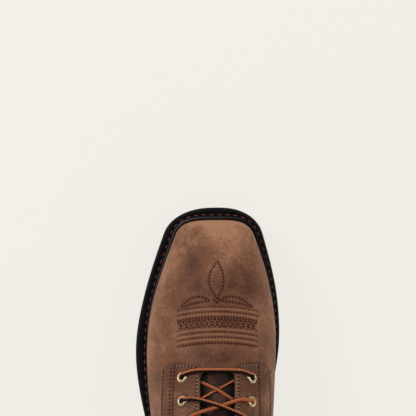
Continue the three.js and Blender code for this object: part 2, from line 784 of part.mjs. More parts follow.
function makeHeel() {
  const body = loft([
    level(soleLoop(HEEL_INSET + HEEL_TAPER), 0),
    level(soleLoop(HEEL_INSET), LUG_DEPTH),
    lifted(soleLoop(EDGE_STEP), LUG_DEPTH - CLEAR),
  ], false);
  const rear = block([-BALL_WIDTH, behindHeel, -LUG_DEPTH], [BALL_WIDTH, atShare(BREAST_AT), BALL_WIDTH]);
  const breast = new THREE.CylinderGeometry(BREAST_RADIUS, BREAST_RADIUS, BALL_WIDTH, BREAST_SIDES);
  breast.rotateX(Math.PI / 2);
  breast.translate(0, atShare(BREAST_AT) + BREAST_RADIUS - GROOVE, 0);
  const rib = TREAD_RIB / 2;
  const cuts = [[-BALL_WIDTH, -rib], [rib, BALL_WIDTH]].map(([left, right]) => block(
    [left, -HEEL_BEHIND / 2 - GROOVE, -LUG_DEPTH],
    [right, -HEEL_BEHIND / 2, LUG_DEPTH],
  ));
  return body.intersect(rear).subtract(solidOf(breast)).subtract(joined(cuts));
}

function makeMidsole() {
  return loft([
    lifted(soleLoop(EDGE_STEP), outsoleTop + CLEAR),
    lifted(soleLoop(EDGE_STEP), midsoleTop),
  ], false);
}

// The welt is a ring, with its bead close around the upper
function makeWelt() {
  const inner = featherLoop(-WELT_SEAT);
  return loft([
    lifted(soleLoop(EDGE_STEP), midsoleTop + CLEAR),
    lifted(soleLoop(EDGE_STEP), weltTop - EDGE_STEP),
    lifted(soleLoop(1.5 * EDGE_STEP), weltTop),
    ...BEAD_SECTION.map(({ out, up }) => (
      lifted(featherLoop(2 * CLEAR + BEAD_WIDTH * out), weltTop + BEAD_RISE * up))),
    lifted(inner, weltTop),
    lifted(inner, midsoleTop + CLEAR),
  ], true).subtract(grownUpper);
}

function makeInsole() {
  const edge = featherLoop(-WELT_SEAT - SEAT_CLEAR);
  return loft([lifted(edge, midsoleTop + CLEAR), lifted(edge, weltTop + INSOLE_ABOVE)], false);
}

function eyeletGeometry() {
  const barrelEnd = -(OVERLAY + CLEAR + WALL);
  const profile = [
    [EYELET_HOLE, barrelEnd],
    [EYELET_BARREL, barrelEnd],
    [EYELET_BARREL, CLEAR],
    [EYELET_FLANGE, CLEAR],
    [EYELET_CROWN, CLEAR + EYELET_RISE],
    [EYELET_HOLE, CLEAR + EYELET_RISE],
    [EYELET_HOLE, barrelEnd],
  ];
  return new THREE.LatheGeometry(profile.map(([x, y]) => new THREE.Vector2(x, y)), EYELET_SIDES);
}

// Lace strands: bars and crossings over the eyestays, and crossings under them, seen in the throat
function strand(points) {
  const path = new THREE.CatmullRomCurve3(points, false, "centripetal");
  const shape = new THREE.Shape();
  shape.absarc(0, 0, LACE / 2, 0, 2 * Math.PI, false);
  const settings = { steps: points.length - 1, curveSegments: 3, bevelEnabled: false, extrudePath: path };
  return solidOf(new THREE.ExtrudeGeometry(shape, settings));
}

function overPoint(u, side, beyond, height) {
  const share = throatShare(u, side, beyond);
  return onUpper(u, side, share).addScaledVector(normalAt(u, side, share), height);
}

function middlePoint(u, height) {
  return onUpper(u, MEDIAL, 0).addScaledVector(normalAt(u, MEDIAL, 0), height);
}
const overEyelet = CLEAR + OVERLAY + 2 * CLEAR + EYELET_RISE + LACE_CLEAR + LACE / 2;

function outerStrand(fromRow, toRow, fromSide) {
  const crossing = (fromRow + toRow) / 2;
  const edge = (share) => fromRow + (toRow - fromRow) * share;
  return strand([
    overPoint(fromRow, fromSide, EYELET_INSET, overEyelet),
    overPoint(edge(STRAND_LEAVES), fromSide, EYELET_INSET / 2, overEyelet),
    overPoint(edge(STRAND_EDGE), fromSide, 0, overEyelet - LACE / 3),
    middlePoint(crossing, overEyelet - LACE / 2),
    overPoint(edge(1 - STRAND_EDGE), -fromSide, 0, overEyelet - LACE / 3),
    overPoint(edge(1 - STRAND_LEAVES), -fromSide, EYELET_INSET / 2, overEyelet),
    overPoint(toRow, -fromSide, EYELET_INSET, overEyelet),
  ]);
}

function innerStrand(fromRow, toRow, fromSide) {
  const inset = -LACE / 4 - LACE_CLEAR;
  const edge = (share) => fromRow + (toRow - fromRow) * share;
  const low = -WALL / 2;
  return strand([
    overPoint(edge(UNDER_EDGE), fromSide, inset, low),
    middlePoint((fromRow + toRow) / 2, low + LACE / 3),
    overPoint(edge(1 - UNDER_EDGE), -fromSide, inset, low),
  ]);
}

function laceBodies() {
  const bodies = [["lace_bar", outerStrand(eyeletRow[0], eyeletRow[0], LATERAL)]];
  for (let k = 0; k + 1 < eyeletRow.length; k += 1) {
    const make = k % 2 === 0 ? innerStrand : outerStrand;
    const pair = [LATERAL, MEDIAL].map((side) => make(eyeletRow[k], eyeletRow[k + 1], side));
    bodies.push([`lace_cross_${k + 1}`, joined(pair)]);
  }
  return bodies;
}

// Materials
function finish(color, roughness, metalness) {
  return new THREE.MeshStandardMaterial({ color, roughness, metalness });
}
const leather = finish(0x7a5340, 0.75, 0);
const darkLeather = finish(0x5a3b2e, 0.8, 0);
const rubber = finish(0x17181a, 0.6, 0);
const brass = finish(0xc9a866, 0.35, 1);
const laceCloth = finish(0xb5562e, 0.8, 0);
const board = finish(0x8a7358, 0.9, 0);

const group = new THREE.Group();

function place(name, geometry, material) {
  const mesh = new THREE.Mesh(geometry, material);
  mesh.name = name;
  group.add(mesh);
  return mesh;
}

place("outsole", geometryOf(makeOutsole()), rubber);
place("heel", geometryOf(makeHeel()), rubber);
place("midsole", geometryOf(makeMidsole()), rubber);
place("welt", geometryOf(makeWelt()), rubber);
place("insole", geometryOf(makeInsole()), board);
place("upper", geometryOf(makeUpper()), leather);
place("tongue", geometryOf(makeTongue()), darkLeather);
place("eyestay_lateral", geometryOf(makeEyestay(LATERAL)), leather);
place("eyestay_medial", geometryOf(makeEyestay(MEDIAL)), leather);
place("counter", geometryOf(makeCounter()), leather);
place("backstay", geometryOf(makeBackstay()), leather);
place("collar", geometryOf(makeCollar()), darkLeather);

const ring = eyeletGeometry();
for (const { index, side, point, normal } of seats) {
  const mesh = place(`eyelet_${side > 0 ? "medial" : "lateral"}_${index + 1}`, ring, brass);
  mesh.position.copy(point).addScaledVector(normal, SEAT_CLEAR + OVERLAY);
  mesh.quaternion.copy(turnedTo(normal));
}
for (const [name, body] of laceBodies()) place(name, geometryOf(body), laceCloth);

export default group;
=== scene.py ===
"""A left work boot with a square toe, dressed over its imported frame.

Metres. +Y points to the toe, +X to the inner side of the foot, +Z up. The origin is on the floor,
under the middle of the heel.
"""
import math

import bmesh
import bpy
import numpy as np
from bpy.props import FloatProperty, FloatVectorProperty, PointerProperty
from mathutils import Matrix, Vector
from mathutils.bvhtree import BVHTree


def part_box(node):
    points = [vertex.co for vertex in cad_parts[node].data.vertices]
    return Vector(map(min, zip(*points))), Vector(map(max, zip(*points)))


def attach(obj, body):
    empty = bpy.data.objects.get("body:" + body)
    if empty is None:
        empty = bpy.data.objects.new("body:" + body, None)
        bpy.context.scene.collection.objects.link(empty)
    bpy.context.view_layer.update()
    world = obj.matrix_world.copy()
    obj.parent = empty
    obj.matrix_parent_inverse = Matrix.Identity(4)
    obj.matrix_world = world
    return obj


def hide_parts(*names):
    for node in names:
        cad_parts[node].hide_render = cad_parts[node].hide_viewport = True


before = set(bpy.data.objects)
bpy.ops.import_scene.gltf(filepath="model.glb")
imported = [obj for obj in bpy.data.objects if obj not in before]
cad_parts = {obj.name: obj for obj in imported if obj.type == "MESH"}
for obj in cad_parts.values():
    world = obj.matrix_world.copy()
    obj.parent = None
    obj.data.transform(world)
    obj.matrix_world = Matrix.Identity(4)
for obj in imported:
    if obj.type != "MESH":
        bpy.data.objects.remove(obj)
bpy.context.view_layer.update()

bl_info = {
    "name": "Square Toe Work Boot",
    "version": (1, 0, 0),
    "blender": (4, 5, 0),
    "location": "View3D > Sidebar > Boot",
    "description": "Dresses the frame of a laced work boot in leather, rubber, thread and lace",
    "category": "Add Mesh",
}

MM = 0.001
LATERAL = -1
MEDIAL = 1
SIDES = {LATERAL: "lateral", MEDIAL: "medial"}

# Sizes of the last and the upper
outsole_low, outsole_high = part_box("outsole")
TOE_Y = outsole_high.y
HEEL_BEHIND = -outsole_low.y
LENGTH = TOE_Y + HEEL_BEHIND
BALL_WIDTH = 116 * MM
UPPER_RISE = 200 * MM
WALL = 2.2 * MM
TOE_SETBACK = 10 * MM
TOE_ROUND = 14 * MM
TOE_SQUARE = 3.5
BACK_ROUND_SEAT = 38 * MM
BACK_ROUND_COLLAR = 50 * MM
BACK_SQUARE = 2.2

# Sizes of the sole
LUG_DEPTH = 4 * MM
OUTSOLE = 7.6 * MM
MIDSOLE = 6 * MM
WELT = 4.3 * MM
TOE_SPRING = 10.5 * MM
HEEL_RISE = 15.5 * MM
SOLE_TOE_ROUND = 22 * MM
SOLE_TOE_SQUARE = 2.5
SOLE_HEEL_ROUND = 42 * MM
SOLE_HEEL_SQUARE = 2.3
EDGE_STEP = 1.2 * MM
GROOVE = 5 * MM
GROOVE_SWEEP = math.radians(11.5)
LUG_PITCH = 15.5 * MM
TREAD_RIB = 20 * MM
HEEL_INSET = 2.4 * MM
BREAST_RADIUS = 116 * MM
BEAD_WIDTH = 2.4 * MM
BEAD_RISE = 2.6 * MM
WELT_SEAT = 3 * MM

# Sizes of the throat, the overlays and the lacing
THROAT_WIDTH = 27 * MM
THROAT_CORNER = 6 * MM
EYESTAY_WIDTH_LATERAL = 33 * MM
EYESTAY_WIDTH_MEDIAL = 37 * MM
EYESTAY_CORNER = 10.5 * MM
OVERLAY = 1.5 * MM
OVERLAY_ROUND = 0.45 * MM
COLLAR_HEIGHT = 38 * MM
COLLAR_DIP = 10 * MM
COLLAR_THICK = 2.4 * MM
COLLAR_LEATHER = 0.9 * MM
COLLAR_SEAM = 0.9 * MM
RIM_DROP = 1.6 * MM
LINING_GAP = 0.8 * MM
LINING_PUFF = 2.6 * MM
ROLL_DEPTH = WALL + 3.2 * MM
ROLL_RISE = 2.2 * MM
COUNTER_HEIGHT = 58 * MM
BACKSTAY_WIDTH = 26 * MM
TONGUE_WIDTH = 62 * MM
TONGUE_FRONT_WIDTH = 46.5 * MM
TONGUE_THICK = 3 * MM
TONGUE_DROP = 3.4 * MM
TONGUE_ABOVE = 14 * MM
INSOLE_ABOVE = 3.5 * MM
EYELET_PAIRS = 8
EYELET_PITCH = 19 * MM
VAMP_PITCH = 0.86
EYELET_INSET = 13.7 * MM
EYELET_FLANGE = 4.6 * MM
EYELET_BARREL = 2.9 * MM
EYELET_HOLE = 1.9 * MM
EYELET_LIP = 1.7 * MM
CORD_WIDTH = 2.6 * MM
CORD_RISE = 1 * MM
CORD_SPAN = 61 * MM
CORD_BOW = 3.6 * MM
CORDS_ABOVE = 45 * MM

# Ways along the tongue, as shares of its length: its drop and its widening end, and its top rounds
TONGUE_DROPPED = 3 / 13
TONGUE_WIDENED = 4 / 13
TONGUE_ROUND_FROM = 0.955
TONGUE_ROUND = 0.22

# Clearances between pieces
CLEAR = 0.3 * MM
SEAT_CLEAR = 0.5 * MM

# Places along the foot, as shares of the length back from the toe tip
SPRING_FROM = 0.26
RISE_FROM = 0.38
SEAT_AT = 0.83
BREAST_AT = 0.745
TREAD_FROM = 0.045
TREAD_TO = 0.5
THROAT_AT = 0.4
EYESTAY_AT = 0.3865
EYELET_AT = 0.4215
COUNTER_TO = 0.72
CORDS_AT = (0.251, 0.2635, 0.2995, 0.3125, 0.325)
CORNER_ROWS = 0.28
EYESTAY_SPREAD = 0.16
SPREAD_ROWS = 2

# Front edge of the counter, foot to top: how far up and how far back, as shares of its height
COUNTER_EDGE_UP = (0, 0.35, 0.75, 1)
COUNTER_EDGE_BACK = (0, 0.12, 0.45, 1.1)

# Outline of the sole: shares of the length and of the ball width
OUTLINE_COLUMNS = ("along", "lateral", "medial")
OUTLINE_ROWS = [
    (0.00, 0.302, 0.262),
    (0.10, 0.402, 0.343),
    (0.20, 0.490, 0.412),
    (0.30, 0.552, 0.438),
    (0.38, 0.571, 0.430),
    (0.47, 0.543, 0.380),
    (0.57, 0.478, 0.345),
    (0.67, 0.422, 0.325),
    (0.77, 0.386, 0.318),
    (0.87, 0.370, 0.328),
    (1.00, 0.366, 0.326),
]
OUTLINE = dict(zip(OUTLINE_COLUMNS, np.array(OUTLINE_ROWS).T))

# Sections of the upper, each a fan line in the side view from its base to its ridge. base and ridge
# are shares of the length, the rises of the upper's rise, the widths of the ball width. widest says
# how far up the line the section is widest, tuck how far it draws in at the base, and crest how
# square its crown is.
SECTION_COLUMNS = (
    "base", "base_rise", "ridge", "ridge_rise", "lateral", "medial", "widest", "tuck", "crest",
)
SECTION_ROWS = [
    (0.032, 0.000, 0.032, 0.045, 0.247, 0.214, 0.30, 0.985, 2.50),
    (0.042, 0.000, 0.040, 0.112, 0.254, 0.220, 0.30, 0.985, 2.50),
    (0.064, 0.000, 0.063, 0.162, 0.279, 0.246, 0.29, 0.985, 2.40),
    (0.103, 0.000, 0.103, 0.206, 0.319, 0.285, 0.27, 0.980, 2.30),
    (0.160, 0.000, 0.160, 0.243, 0.375, 0.336, 0.25, 0.975, 2.20),
    (0.231, 0.000, 0.228, 0.274, 0.435, 0.377, 0.24, 0.972, 2.10),
    (0.308, 0.000, 0.298, 0.307, 0.473, 0.403, 0.24, 0.970, 2.05),
    (0.391, 0.000, 0.365, 0.341, 0.481, 0.399, 0.25, 0.968, 2.00),
    (0.481, 0.000, 0.430, 0.374, 0.468, 0.389, 0.27, 0.965, 1.95),
    (0.583, 0.000, 0.490, 0.418, 0.437, 0.375, 0.30, 0.945, 1.90),
    (0.692, 0.000, 0.540, 0.470, 0.402, 0.356, 0.33, 0.925, 1.90),
    (0.801, 0.000, 0.577, 0.529, 0.376, 0.342, 0.36, 0.915, 1.95),
    (0.897, 0.000, 0.600, 0.594, 0.359, 0.334, 0.39, 0.915, 2.00),
    (0.971, 0.000, 0.611, 0.656, 0.350, 0.334, 0.42, 0.925, 2.00),
    (0.981, 0.110, 0.616, 0.711, 0.350, 0.338, 0.45, 0.940, 2.00),
    (0.978, 0.235, 0.616, 0.761, 0.354, 0.343, 0.48, 0.965, 2.00),
    (0.958, 0.370, 0.613, 0.811, 0.360, 0.351, 0.50, 0.990, 2.00),
    (0.943, 0.495, 0.610, 0.861, 0.368, 0.360, 0.50, 1.000, 2.00),
    (0.941, 0.620, 0.606, 0.911, 0.377, 0.372, 0.50, 1.000, 2.00),
    (0.949, 0.770, 0.601, 0.966, 0.388, 0.384, 0.50, 1.000, 2.05),
    (0.962, 0.950, 0.596, 1.027, 0.400, 0.400, 0.50, 1.000, 2.10),
]
SECTIONS = dict(zip(SECTION_COLUMNS, np.array(SECTION_ROWS).T))
HEEL_ROW = 13
COLLAR_ROW = len(SECTION_ROWS) - 1

OUTSOLE_TOP = LUG_DEPTH + OUTSOLE
MIDSOLE_TOP = OUTSOLE_TOP + CLEAR + MIDSOLE
WELT_TOP = MIDSOLE_TOP + CLEAR + WELT

# Stitched figures of the vamp, in plan: across from the middle, and back from the sole's toe tip
BOW_HALF = CORD_SPAN / 2
FLAME = [
    (0.4, 42.0), (-2.6, 45.6), (-4.9, 49.2), (-6.3, 53.6), (-6.3, 58.2), (-4.9, 62.8), (-2.6, 66.4),
    (-0.3, 69.7), (1.9, 66.4), (3.9, 62.8), (4.9, 58.2), (4.8, 53.6), (3.8, 49.2), (2.2, 45.6),
    (0.4, 42.0),
]
KNOT = [(-2.0, 71.4), (0.0, 70.4), (1.8, 71.6), (0.2, 73.4), (-2.0, 71.4)]
LATERAL_ARCH = [
    (-6.6, 71.5), (-10.6, 69.7), (-15.0, 69.0), (-19.4, 70.2), (-23.6, 72.6), (-27.4, 75.8),
]
MEDIAL_ARCH = [
    (2.3, 71.3), (6.8, 69.4), (11.7, 68.8), (16.8, 70.0), (21.8, 72.8), (27.2, 76.9),
]
LATERAL_SPUR = [(-6.6, 72.2), (-14.0, 73.4), (-21.0, 75.0), (-27.2, 77.4)]
MEDIAL_SPUR = [(4.6, 72.2), (12.0, 73.2), (20.0, 74.8), (27.4, 77.4)]
ROW_AT = (76.9, 80.6, 84.3, 96.0, 99.8, 103.8)
BAND_FROM = 86.2
BAND_TO = 91.9
BAND_PERIOD = 7.6

# Soft light and dark places of the leather: along the foot from the toe tip, across, reach in mm,
# and how much lighter or darker. Besides real wear they hold painted light: the toe front and the
# toe's sides, which face the light, are painted lighter and the middle of the vamp painted darker
WEAR_AND_LIGHT_SPOTS = [
    (12, 0, 30, 0.84), (30, -28, 16, -0.32), (24, 26, 18, 0.05), (46, -46, 20, 0.50),
    (46, 42, 18, 0.52), (31, -9, 10, -0.30), (72, 0, 26, -0.56), (52, -16, 20, -0.50),
    (62, 18, 22, -0.46), (80, -50, 18, 0.52), (88, 46, 20, 0.50), (104, -56, 18, 0.36),
    (122, 0, 34, -0.54), (78, -34, 14, -0.10),
    (140, 50, 40, 0.20), (190, -52, 40, 0.15), (230, 46, 40, -0.10), (290, 0, 40, 0.15),
]

# Soft creases of the upper: row, side, share of the girth, run in rows and in shares, depth in mm
CREASES = [
    (7.3, LATERAL, 0.42, 0.34, 0.16, 0.55), (7.9, LATERAL, 0.46, 0.30, 0.15, 0.50),
    (7.4, MEDIAL, 0.40, 0.32, 0.16, 0.50), (8.1, MEDIAL, 0.47, 0.30, 0.14, 0.45),
    (12.1, LATERAL, 0.36, 0.34, 0.16, 0.9), (13.1, LATERAL, 0.42, 0.34, 0.17, 1.1),
    (14.2, LATERAL, 0.46, 0.40, 0.20, 0.9), (12.2, MEDIAL, 0.37, 0.34, 0.15, 0.9),
    (13.2, MEDIAL, 0.44, 0.34, 0.18, 1.1), (14.4, MEDIAL, 0.45, 0.40, 0.20, 0.8),
    (15.6, LATERAL, 0.72, 0.40, 0.22, 0.8), (15.8, MEDIAL, 0.70, 0.40, 0.22, 0.8),
]

# Yarns of the lace's braid, and the share of its girth that is dark, each way from the middle of
# its dark side
LACE_YARNS = 6
LACE_SPLIT = 0.21

# Relief of the stitched vamp: how deep a seam lies, how high the leather puffs beside it, and how
# far from the seam each reaches
SEAM_DEPTH = 0.6 * MM
SEAM_REACH = 0.7 * MM
PUFF_RISE = 0.35 * MM
PUFF_FROM = 2.2 * MM
PUFF_TO = 5 * MM
FIGURES_FROM = 38 * MM
FIGURES_TO = 112 * MM
FIGURES_HALF = 36 * MM
FIGURES_ABOVE = 40 * MM

# Seams of the eyestays: across from the throat's edge or in from the outer edge, and how far the
# painted shade of an eyestay's edge reaches on the leather beside it
STRIP_FROM = 20.3 * MM
EDGE_ROW = 1.5 * MM
STRIP_ROW = 1.8 * MM
SECOND_ROW = 2.7 * MM
ROW_LENGTH = 24 * MM
SHADE_REACH = 1.7 * MM

# Rows by which the eyestays' seams start behind the front edge and end before the collar
SEAM_STARTS = 0.13
SEAM_ENDS = 3.2

# Stitches and needle holes: how deep the vamp's lie, how wide and thick the holes' dark discs of
# painted shade are, and the turn of each stitch from its seam, in radians
STITCH_SUNK = 0.22 * MM
VAMP_HOLE = 1.35 * MM
EYESTAY_HOLE = 1.5 * MM
HOLE_THICK = 0.3 * MM
VAMP_SLANT = 0.3
EYESTAY_SLANT = 0.12

# Channel of the welt's stitches, out from the upper, and the room kept beside the bead
WELT_CHANNEL = 4.3 * MM
BEAD_MARGIN = 2.4 * MM
BEAD_LEAST = 0.8 * MM
BEAD_FULLNESS = 0.8

# Camera over the toe
CAMERA_AT = (-7.2 * MM, 269.6 * MM, 1.6)
FOCAL_PX = 1972
FRAME_PX = 416
SENSOR = 36

# How finely things are drawn. The fine rows of the upper lie under the stitched figures. Round the
# throat's front its grid is shifted to the edge, which fades out over some rows and columns.
SECTION_SAMPLES = 150
TOE_STEPS = 20
TOE_ROW = 2 * MM
FINE_FROM = 42 * MM
FINE_TO = 108 * MM
FINE_ROW = 0.68 * MM
SHAFT_ROW = 2.1 * MM
EDGE_COLUMNS = 14
SIDE_COLUMNS = 48
FADE_COLUMNS = 8
FADE_ROWS = 11
SOLE_SAMPLES = 110
PLAN_STEP = 0.4 * MM


def size_property(name, description, default):
    return FloatProperty(name=name, description=description, default=default, unit="LENGTH")


class BootSizes(bpy.types.PropertyGroup):
    """Sizes that can be set without changing the frame"""

    lace: size_property("Lace", "Thickness of the lace", 3.2 * MM)
    stitch: size_property("Stitch", "Pitch of the stitches on the upper", 2.9 * MM)
    welt_stitch: size_property("Welt stitch", "Pitch of the stitches round the welt", 6.3 * MM)
    thread: size_property("Thread", "Thickness of the thread on the upper", 0.75 * MM)
    grain: size_property("Grain", "Height of the leather's grain", 0.12 * MM)


def colour_property(name, description, default):
    return FloatVectorProperty(
        name=name, description=description, subtype="COLOR", size=3, min=0, max=1, default=default)


class BootColours(bpy.types.PropertyGroup):
    """Colours of the leather, rubber, metal, lace and thread"""

    # The light colour also paints the highlight on raised relief and on the lit toe
    leather_light: colour_property("Light leather", "Worn and raised leather", (0.45, 0.222, 0.122))
    leather: colour_property("Leather", "Body of the leather", (0.215, 0.088, 0.046))
    leather_dark: colour_property("Dark leather", "Oiled and rubbed-in leather", (0.088, 0.031, 0.0155))
    tongue: colour_property("Tongue", "Leather of the tongue", (0.026, 0.0095, 0.0065))
    lining: colour_property("Lining", "Cloth inside the boot", (0.055, 0.040, 0.032))
    rubber: colour_property("Rubber", "Sole and welt", (0.0035, 0.0038, 0.0045))
    brass: colour_property("Brass", "Eyelets", (0.72, 0.58, 0.36))
    lace_bright: colour_property("Bright lace", "Bright half of the lace", (0.80, 0.225, 0.085))
    lace_dark: colour_property("Dark lace", "Dark half of the lace", (0.003, 0.003, 0.0035))
    thread_dark: colour_property("Dark thread", "Stitches of the vamp", (0.30, 0.058, 0.026))
    thread_light: colour_property("Light thread", "Stitches beside the throat", (0.50, 0.33, 0.26))
    thread_rust: colour_property("Rust thread", "Stitches of the welt", (0.23, 0.022, 0.014))
    floor: colour_property("Floor", "Pale floor", (0.887, 0.863, 0.807))


def sizes():
    return bpy.context.scene.boot_sizes


def colours():
    return bpy.context.scene.boot_colours


def at_share(share):
    return TOE_Y - share * LENGTH


def smooth(t):
    t = np.clip(t, 0, 1)
    return t * t * (3 - 2 * t)


def walked(line):
    """How far along a line each of its points is"""
    return np.concatenate(([0], np.cumsum(np.linalg.norm(np.diff(line, axis=0), axis=1))))


def blend(values, t):
    """A smooth curve through a table's column, straight on past its last row"""
    last = len(values) - 1
    padded = np.concatenate(([2 * values[0] - values[1]], values, [2 * values[-1] - values[-2]]))
    inside = np.clip(np.asarray(t, float), 0, last)
    i = np.minimum(inside.astype(int), last - 1)
    f = inside - i
    before = (1 - f) ** 3 * padded[i]
    start = (3 * f ** 3 - 6 * f * f + 4) * padded[i + 1]
    end = (-3 * f ** 3 + 3 * f * f + 3 * f + 1) * padded[i + 2]
    past = np.maximum(t - last, 0) * (values[-1] - values[-2])
    return (before + start + end + f ** 3 * padded[i + 3]) / 6 + past


def sole_lift(y):
    """How far the sole's underside stands off the floor: sprung at the toe, raised at the heel"""
    spring_y = at_share(SPRING_FROM)
    sprung = TOE_SPRING * (np.maximum(y - spring_y, 0) / (TOE_Y - spring_y)) ** 2
    t = (at_share(RISE_FROM) - y) / (at_share(RISE_FROM) - at_share(SEAT_AT))
    return sprung + HEEL_RISE * smooth(t)


SEAT_Z = HEEL_RISE + WELT_TOP + SEAT_CLEAR
COLLAR_Z = SEAT_Z + UPPER_RISE


def round_end(distance, depth, square):
    t = np.clip((depth - distance) / depth, 0, 1)
    return (1 - t ** square) ** (1 / square)


def base_point(u):
    foot_y = at_share(blend(SECTIONS["base"][:HEEL_ROW + 1], np.minimum(u, HEEL_ROW)))
    back = np.maximum(u - HEEL_ROW, 0)
    back_y = at_share(blend(SECTIONS["base"][HEEL_ROW:], back))
    back_z = SEAT_Z + UPPER_RISE * blend(SECTIONS["base_rise"][HEEL_ROW:], back)
    in_foot = u <= HEEL_ROW
    y = np.where(in_foot, foot_y, back_y)
    return y, np.where(in_foot, sole_lift(y) + WELT_TOP + SEAT_CLEAR, back_z)


def ridge_point(u):
    y = at_share(blend(SECTIONS["ridge"], u))
    return y, sole_lift(y) + WELT_TOP + SEAT_CLEAR + UPPER_RISE * blend(SECTIONS["ridge_rise"], u)


BACK_ROWS = np.linspace(HEEL_ROW, COLLAR_ROW + 2, 400)
BACK_Y, BACK_Z = base_point(BACK_ROWS)


def half_width(u, s, side, y, z):
    widest = blend(SECTIONS["widest"], u)
    tuck = blend(SECTIONS["tuck"], u)
    crest = blend(SECTIONS["crest"], u)
    full = BALL_WIDTH * blend(SECTIONS[SIDES[side]], u)
    under = np.clip(1 - s / widest, 0, 1)
    over = np.clip((s - widest) / (1 - widest), 0, 1)
    low = np.sqrt(1 - (1 - tuck * tuck) * under * under)
    crown = (1 - over ** crest) ** (1 / crest)
    rise = np.clip((z - SEAT_Z) / UPPER_RISE, 0, 1)
    back_depth = BACK_ROUND_SEAT + (BACK_ROUND_COLLAR - BACK_ROUND_SEAT) * rise
    toe = round_end(at_share(0) - TOE_SETBACK - y, TOE_ROUND, TOE_SQUARE)
    back = round_end(y - np.interp(z, BACK_Z, BACK_Y), back_depth, BACK_SQUARE)
    return full * low * crown * toe * back


def sections(us, side):
    """One side of each section, from the ridge down to the base, and how far along each point is"""
    u = np.atleast_1d(np.asarray(us, float))[:, None]
    s = (1 + np.cos(np.pi * np.arange(SECTION_SAMPLES + 1) / SECTION_SAMPLES)) / 2
    base_y, base_z = base_point(u)
    ridge_y, ridge_z = ridge_point(u)
    y = base_y + (ridge_y - base_y) * s
    z = base_z + (ridge_z - base_z) * s
    x = side * half_width(u, s, side, y, z)
    x[:, 0] = 0
    x[u[:, 0] <= 0] = 0
    x[u[:, 0] >= HEEL_ROW, -1] = 0
    points = np.stack((x, y, z), axis=-1)
    steps = np.linalg.norm(np.diff(points, axis=1), axis=2)
    return points, np.concatenate((np.zeros((len(u), 1)), np.cumsum(steps, axis=1)), axis=1)


def on_upper(us, side, shares):
    """Points of the upper's outer face: a row, a side, and shares of the girth down from the ridge"""
    points, lengths = sections(us, side)
    shares = np.asarray(shares, float).reshape(len(points), -1)
    placed = np.empty(shares.shape + (3,))
    for k, (line, run) in enumerate(zip(points, lengths)):
        target = np.clip(shares[k], 0, 1) * run[-1]
        for axis in range(3):
            placed[k, :, axis] = np.interp(target, run, line[:, axis])
    return placed


def upper_normals(us, side, shares):
    du = 0.04
    ds = 0.012
    us = np.atleast_1d(np.asarray(us, float))
    shares = np.asarray(shares, float).reshape(len(us), -1)
    row_step = on_upper(us + du, side, shares) - on_upper(us - du, side, shares)
    down_step = on_upper(us, side, shares + ds) - on_upper(us, side, shares - ds)
    normals = np.cross(row_step, down_step) * side
    normals[..., 0] = np.where(shares == 0, 0, normals[..., 0])
    return unit(normals)


def share_across(us, side, across):
    """The share of the girth at which the upper is a given distance from the middle plane"""
    points, lengths = sections(us, side)
    found = np.empty(len(points))
    for k, (line, run) in enumerate(zip(points, lengths)):
        x = np.abs(line[:, 0])
        widest = int(np.argmax(x))
        at = np.interp(min(across, x[widest]), x[:widest + 1], run[:widest + 1])
        found[k] = at / run[-1]
    return found


def throat_share(us, side, beyond):
    girth = sections(us, side)[1][:, -1]
    return share_across(us, side, THROAT_WIDTH / 2) + beyond / girth


def row_at(y, side, across):
    """The row at which the upper crosses a given y, some way across"""
    rows = np.linspace(0.02, HEEL_ROW, 700)
    ys = on_upper(rows, side, share_across(rows, side, across))[:, 0, 1]
    return float(np.interp(-y, -ys, rows))


def eyestay_point(us, side, beyond, height):
    """Points beyond the throat's edge on the upper, raised along its normals"""
    share = throat_share(us, side, beyond)
    raised = np.reshape(height, (-1, 1, 1)) * upper_normals(us, side, share)
    return (on_upper(us, side, share) + raised)[:, 0]


def eyestay_spot(u, side, beyond, height):
    """One such point, and the upper's normal there"""
    normal = upper_normals([u], side, throat_share([u], side, beyond))[0, 0]
    return eyestay_point([u], side, beyond, height)[0], normal


def ridge_spot(u):
    return on_upper([u], MEDIAL, [0.0])[0, 0], upper_normals([u], MEDIAL, [0.0])[0, 0]


def eyelet_rows():
    """Rows spaced along the line of the eyelets"""
    start = row_at(at_share(EYELET_AT), MEDIAL, THROAT_WIDTH / 2 + EYELET_INSET)
    rows = np.arange(start, COLLAR_ROW, 0.02)
    line = eyestay_point(rows, MEDIAL, EYELET_INSET, 0)
    return np.interp(np.arange(EYELET_PAIRS) * EYELET_PITCH, walked(line), rows)


def upper_rows():
    """Rows at which the upper is drawn: close round the toe and over the stitched figures"""
    angle = np.linspace(0, np.pi / 2, TOE_STEPS)
    toe = TOE_SETBACK + TOE_ROUND * (1 - np.cos(angle) ** (2 / TOE_SQUARE))
    vamp = np.concatenate((
        toe,
        np.arange(toe[-1] + TOE_ROW, FINE_FROM, TOE_ROW),
        np.arange(FINE_FROM, FINE_TO, FINE_ROW),
    ))
    rows = np.linspace(0, COLLAR_ROW, 4000)
    ridge_y, ridge_z = ridge_point(rows)
    front = np.interp(vamp, TOE_Y - ridge_y[:2000], rows[:2000])
    front[0] = 0
    base_y, base_z = base_point(rows)
    ridge_run = np.hypot(np.diff(ridge_y), np.diff(ridge_z))
    base_run = np.hypot(np.diff(base_y), np.diff(base_z))
    run = np.concatenate(([0], np.cumsum(0.6 * ridge_run + 0.4 * base_run)))
    start = np.interp(front[-1], rows, run)
    count = int((run[-1] - start) / SHAFT_ROW)
    rest = np.interp(np.linspace(start, run[-1], count + 1)[1:], run, rows)
    rows = np.unique(np.concatenate((front, rest, [HEEL_ROW])))
    return rows[np.concatenate(([True], np.diff(rows) > 0.004))]


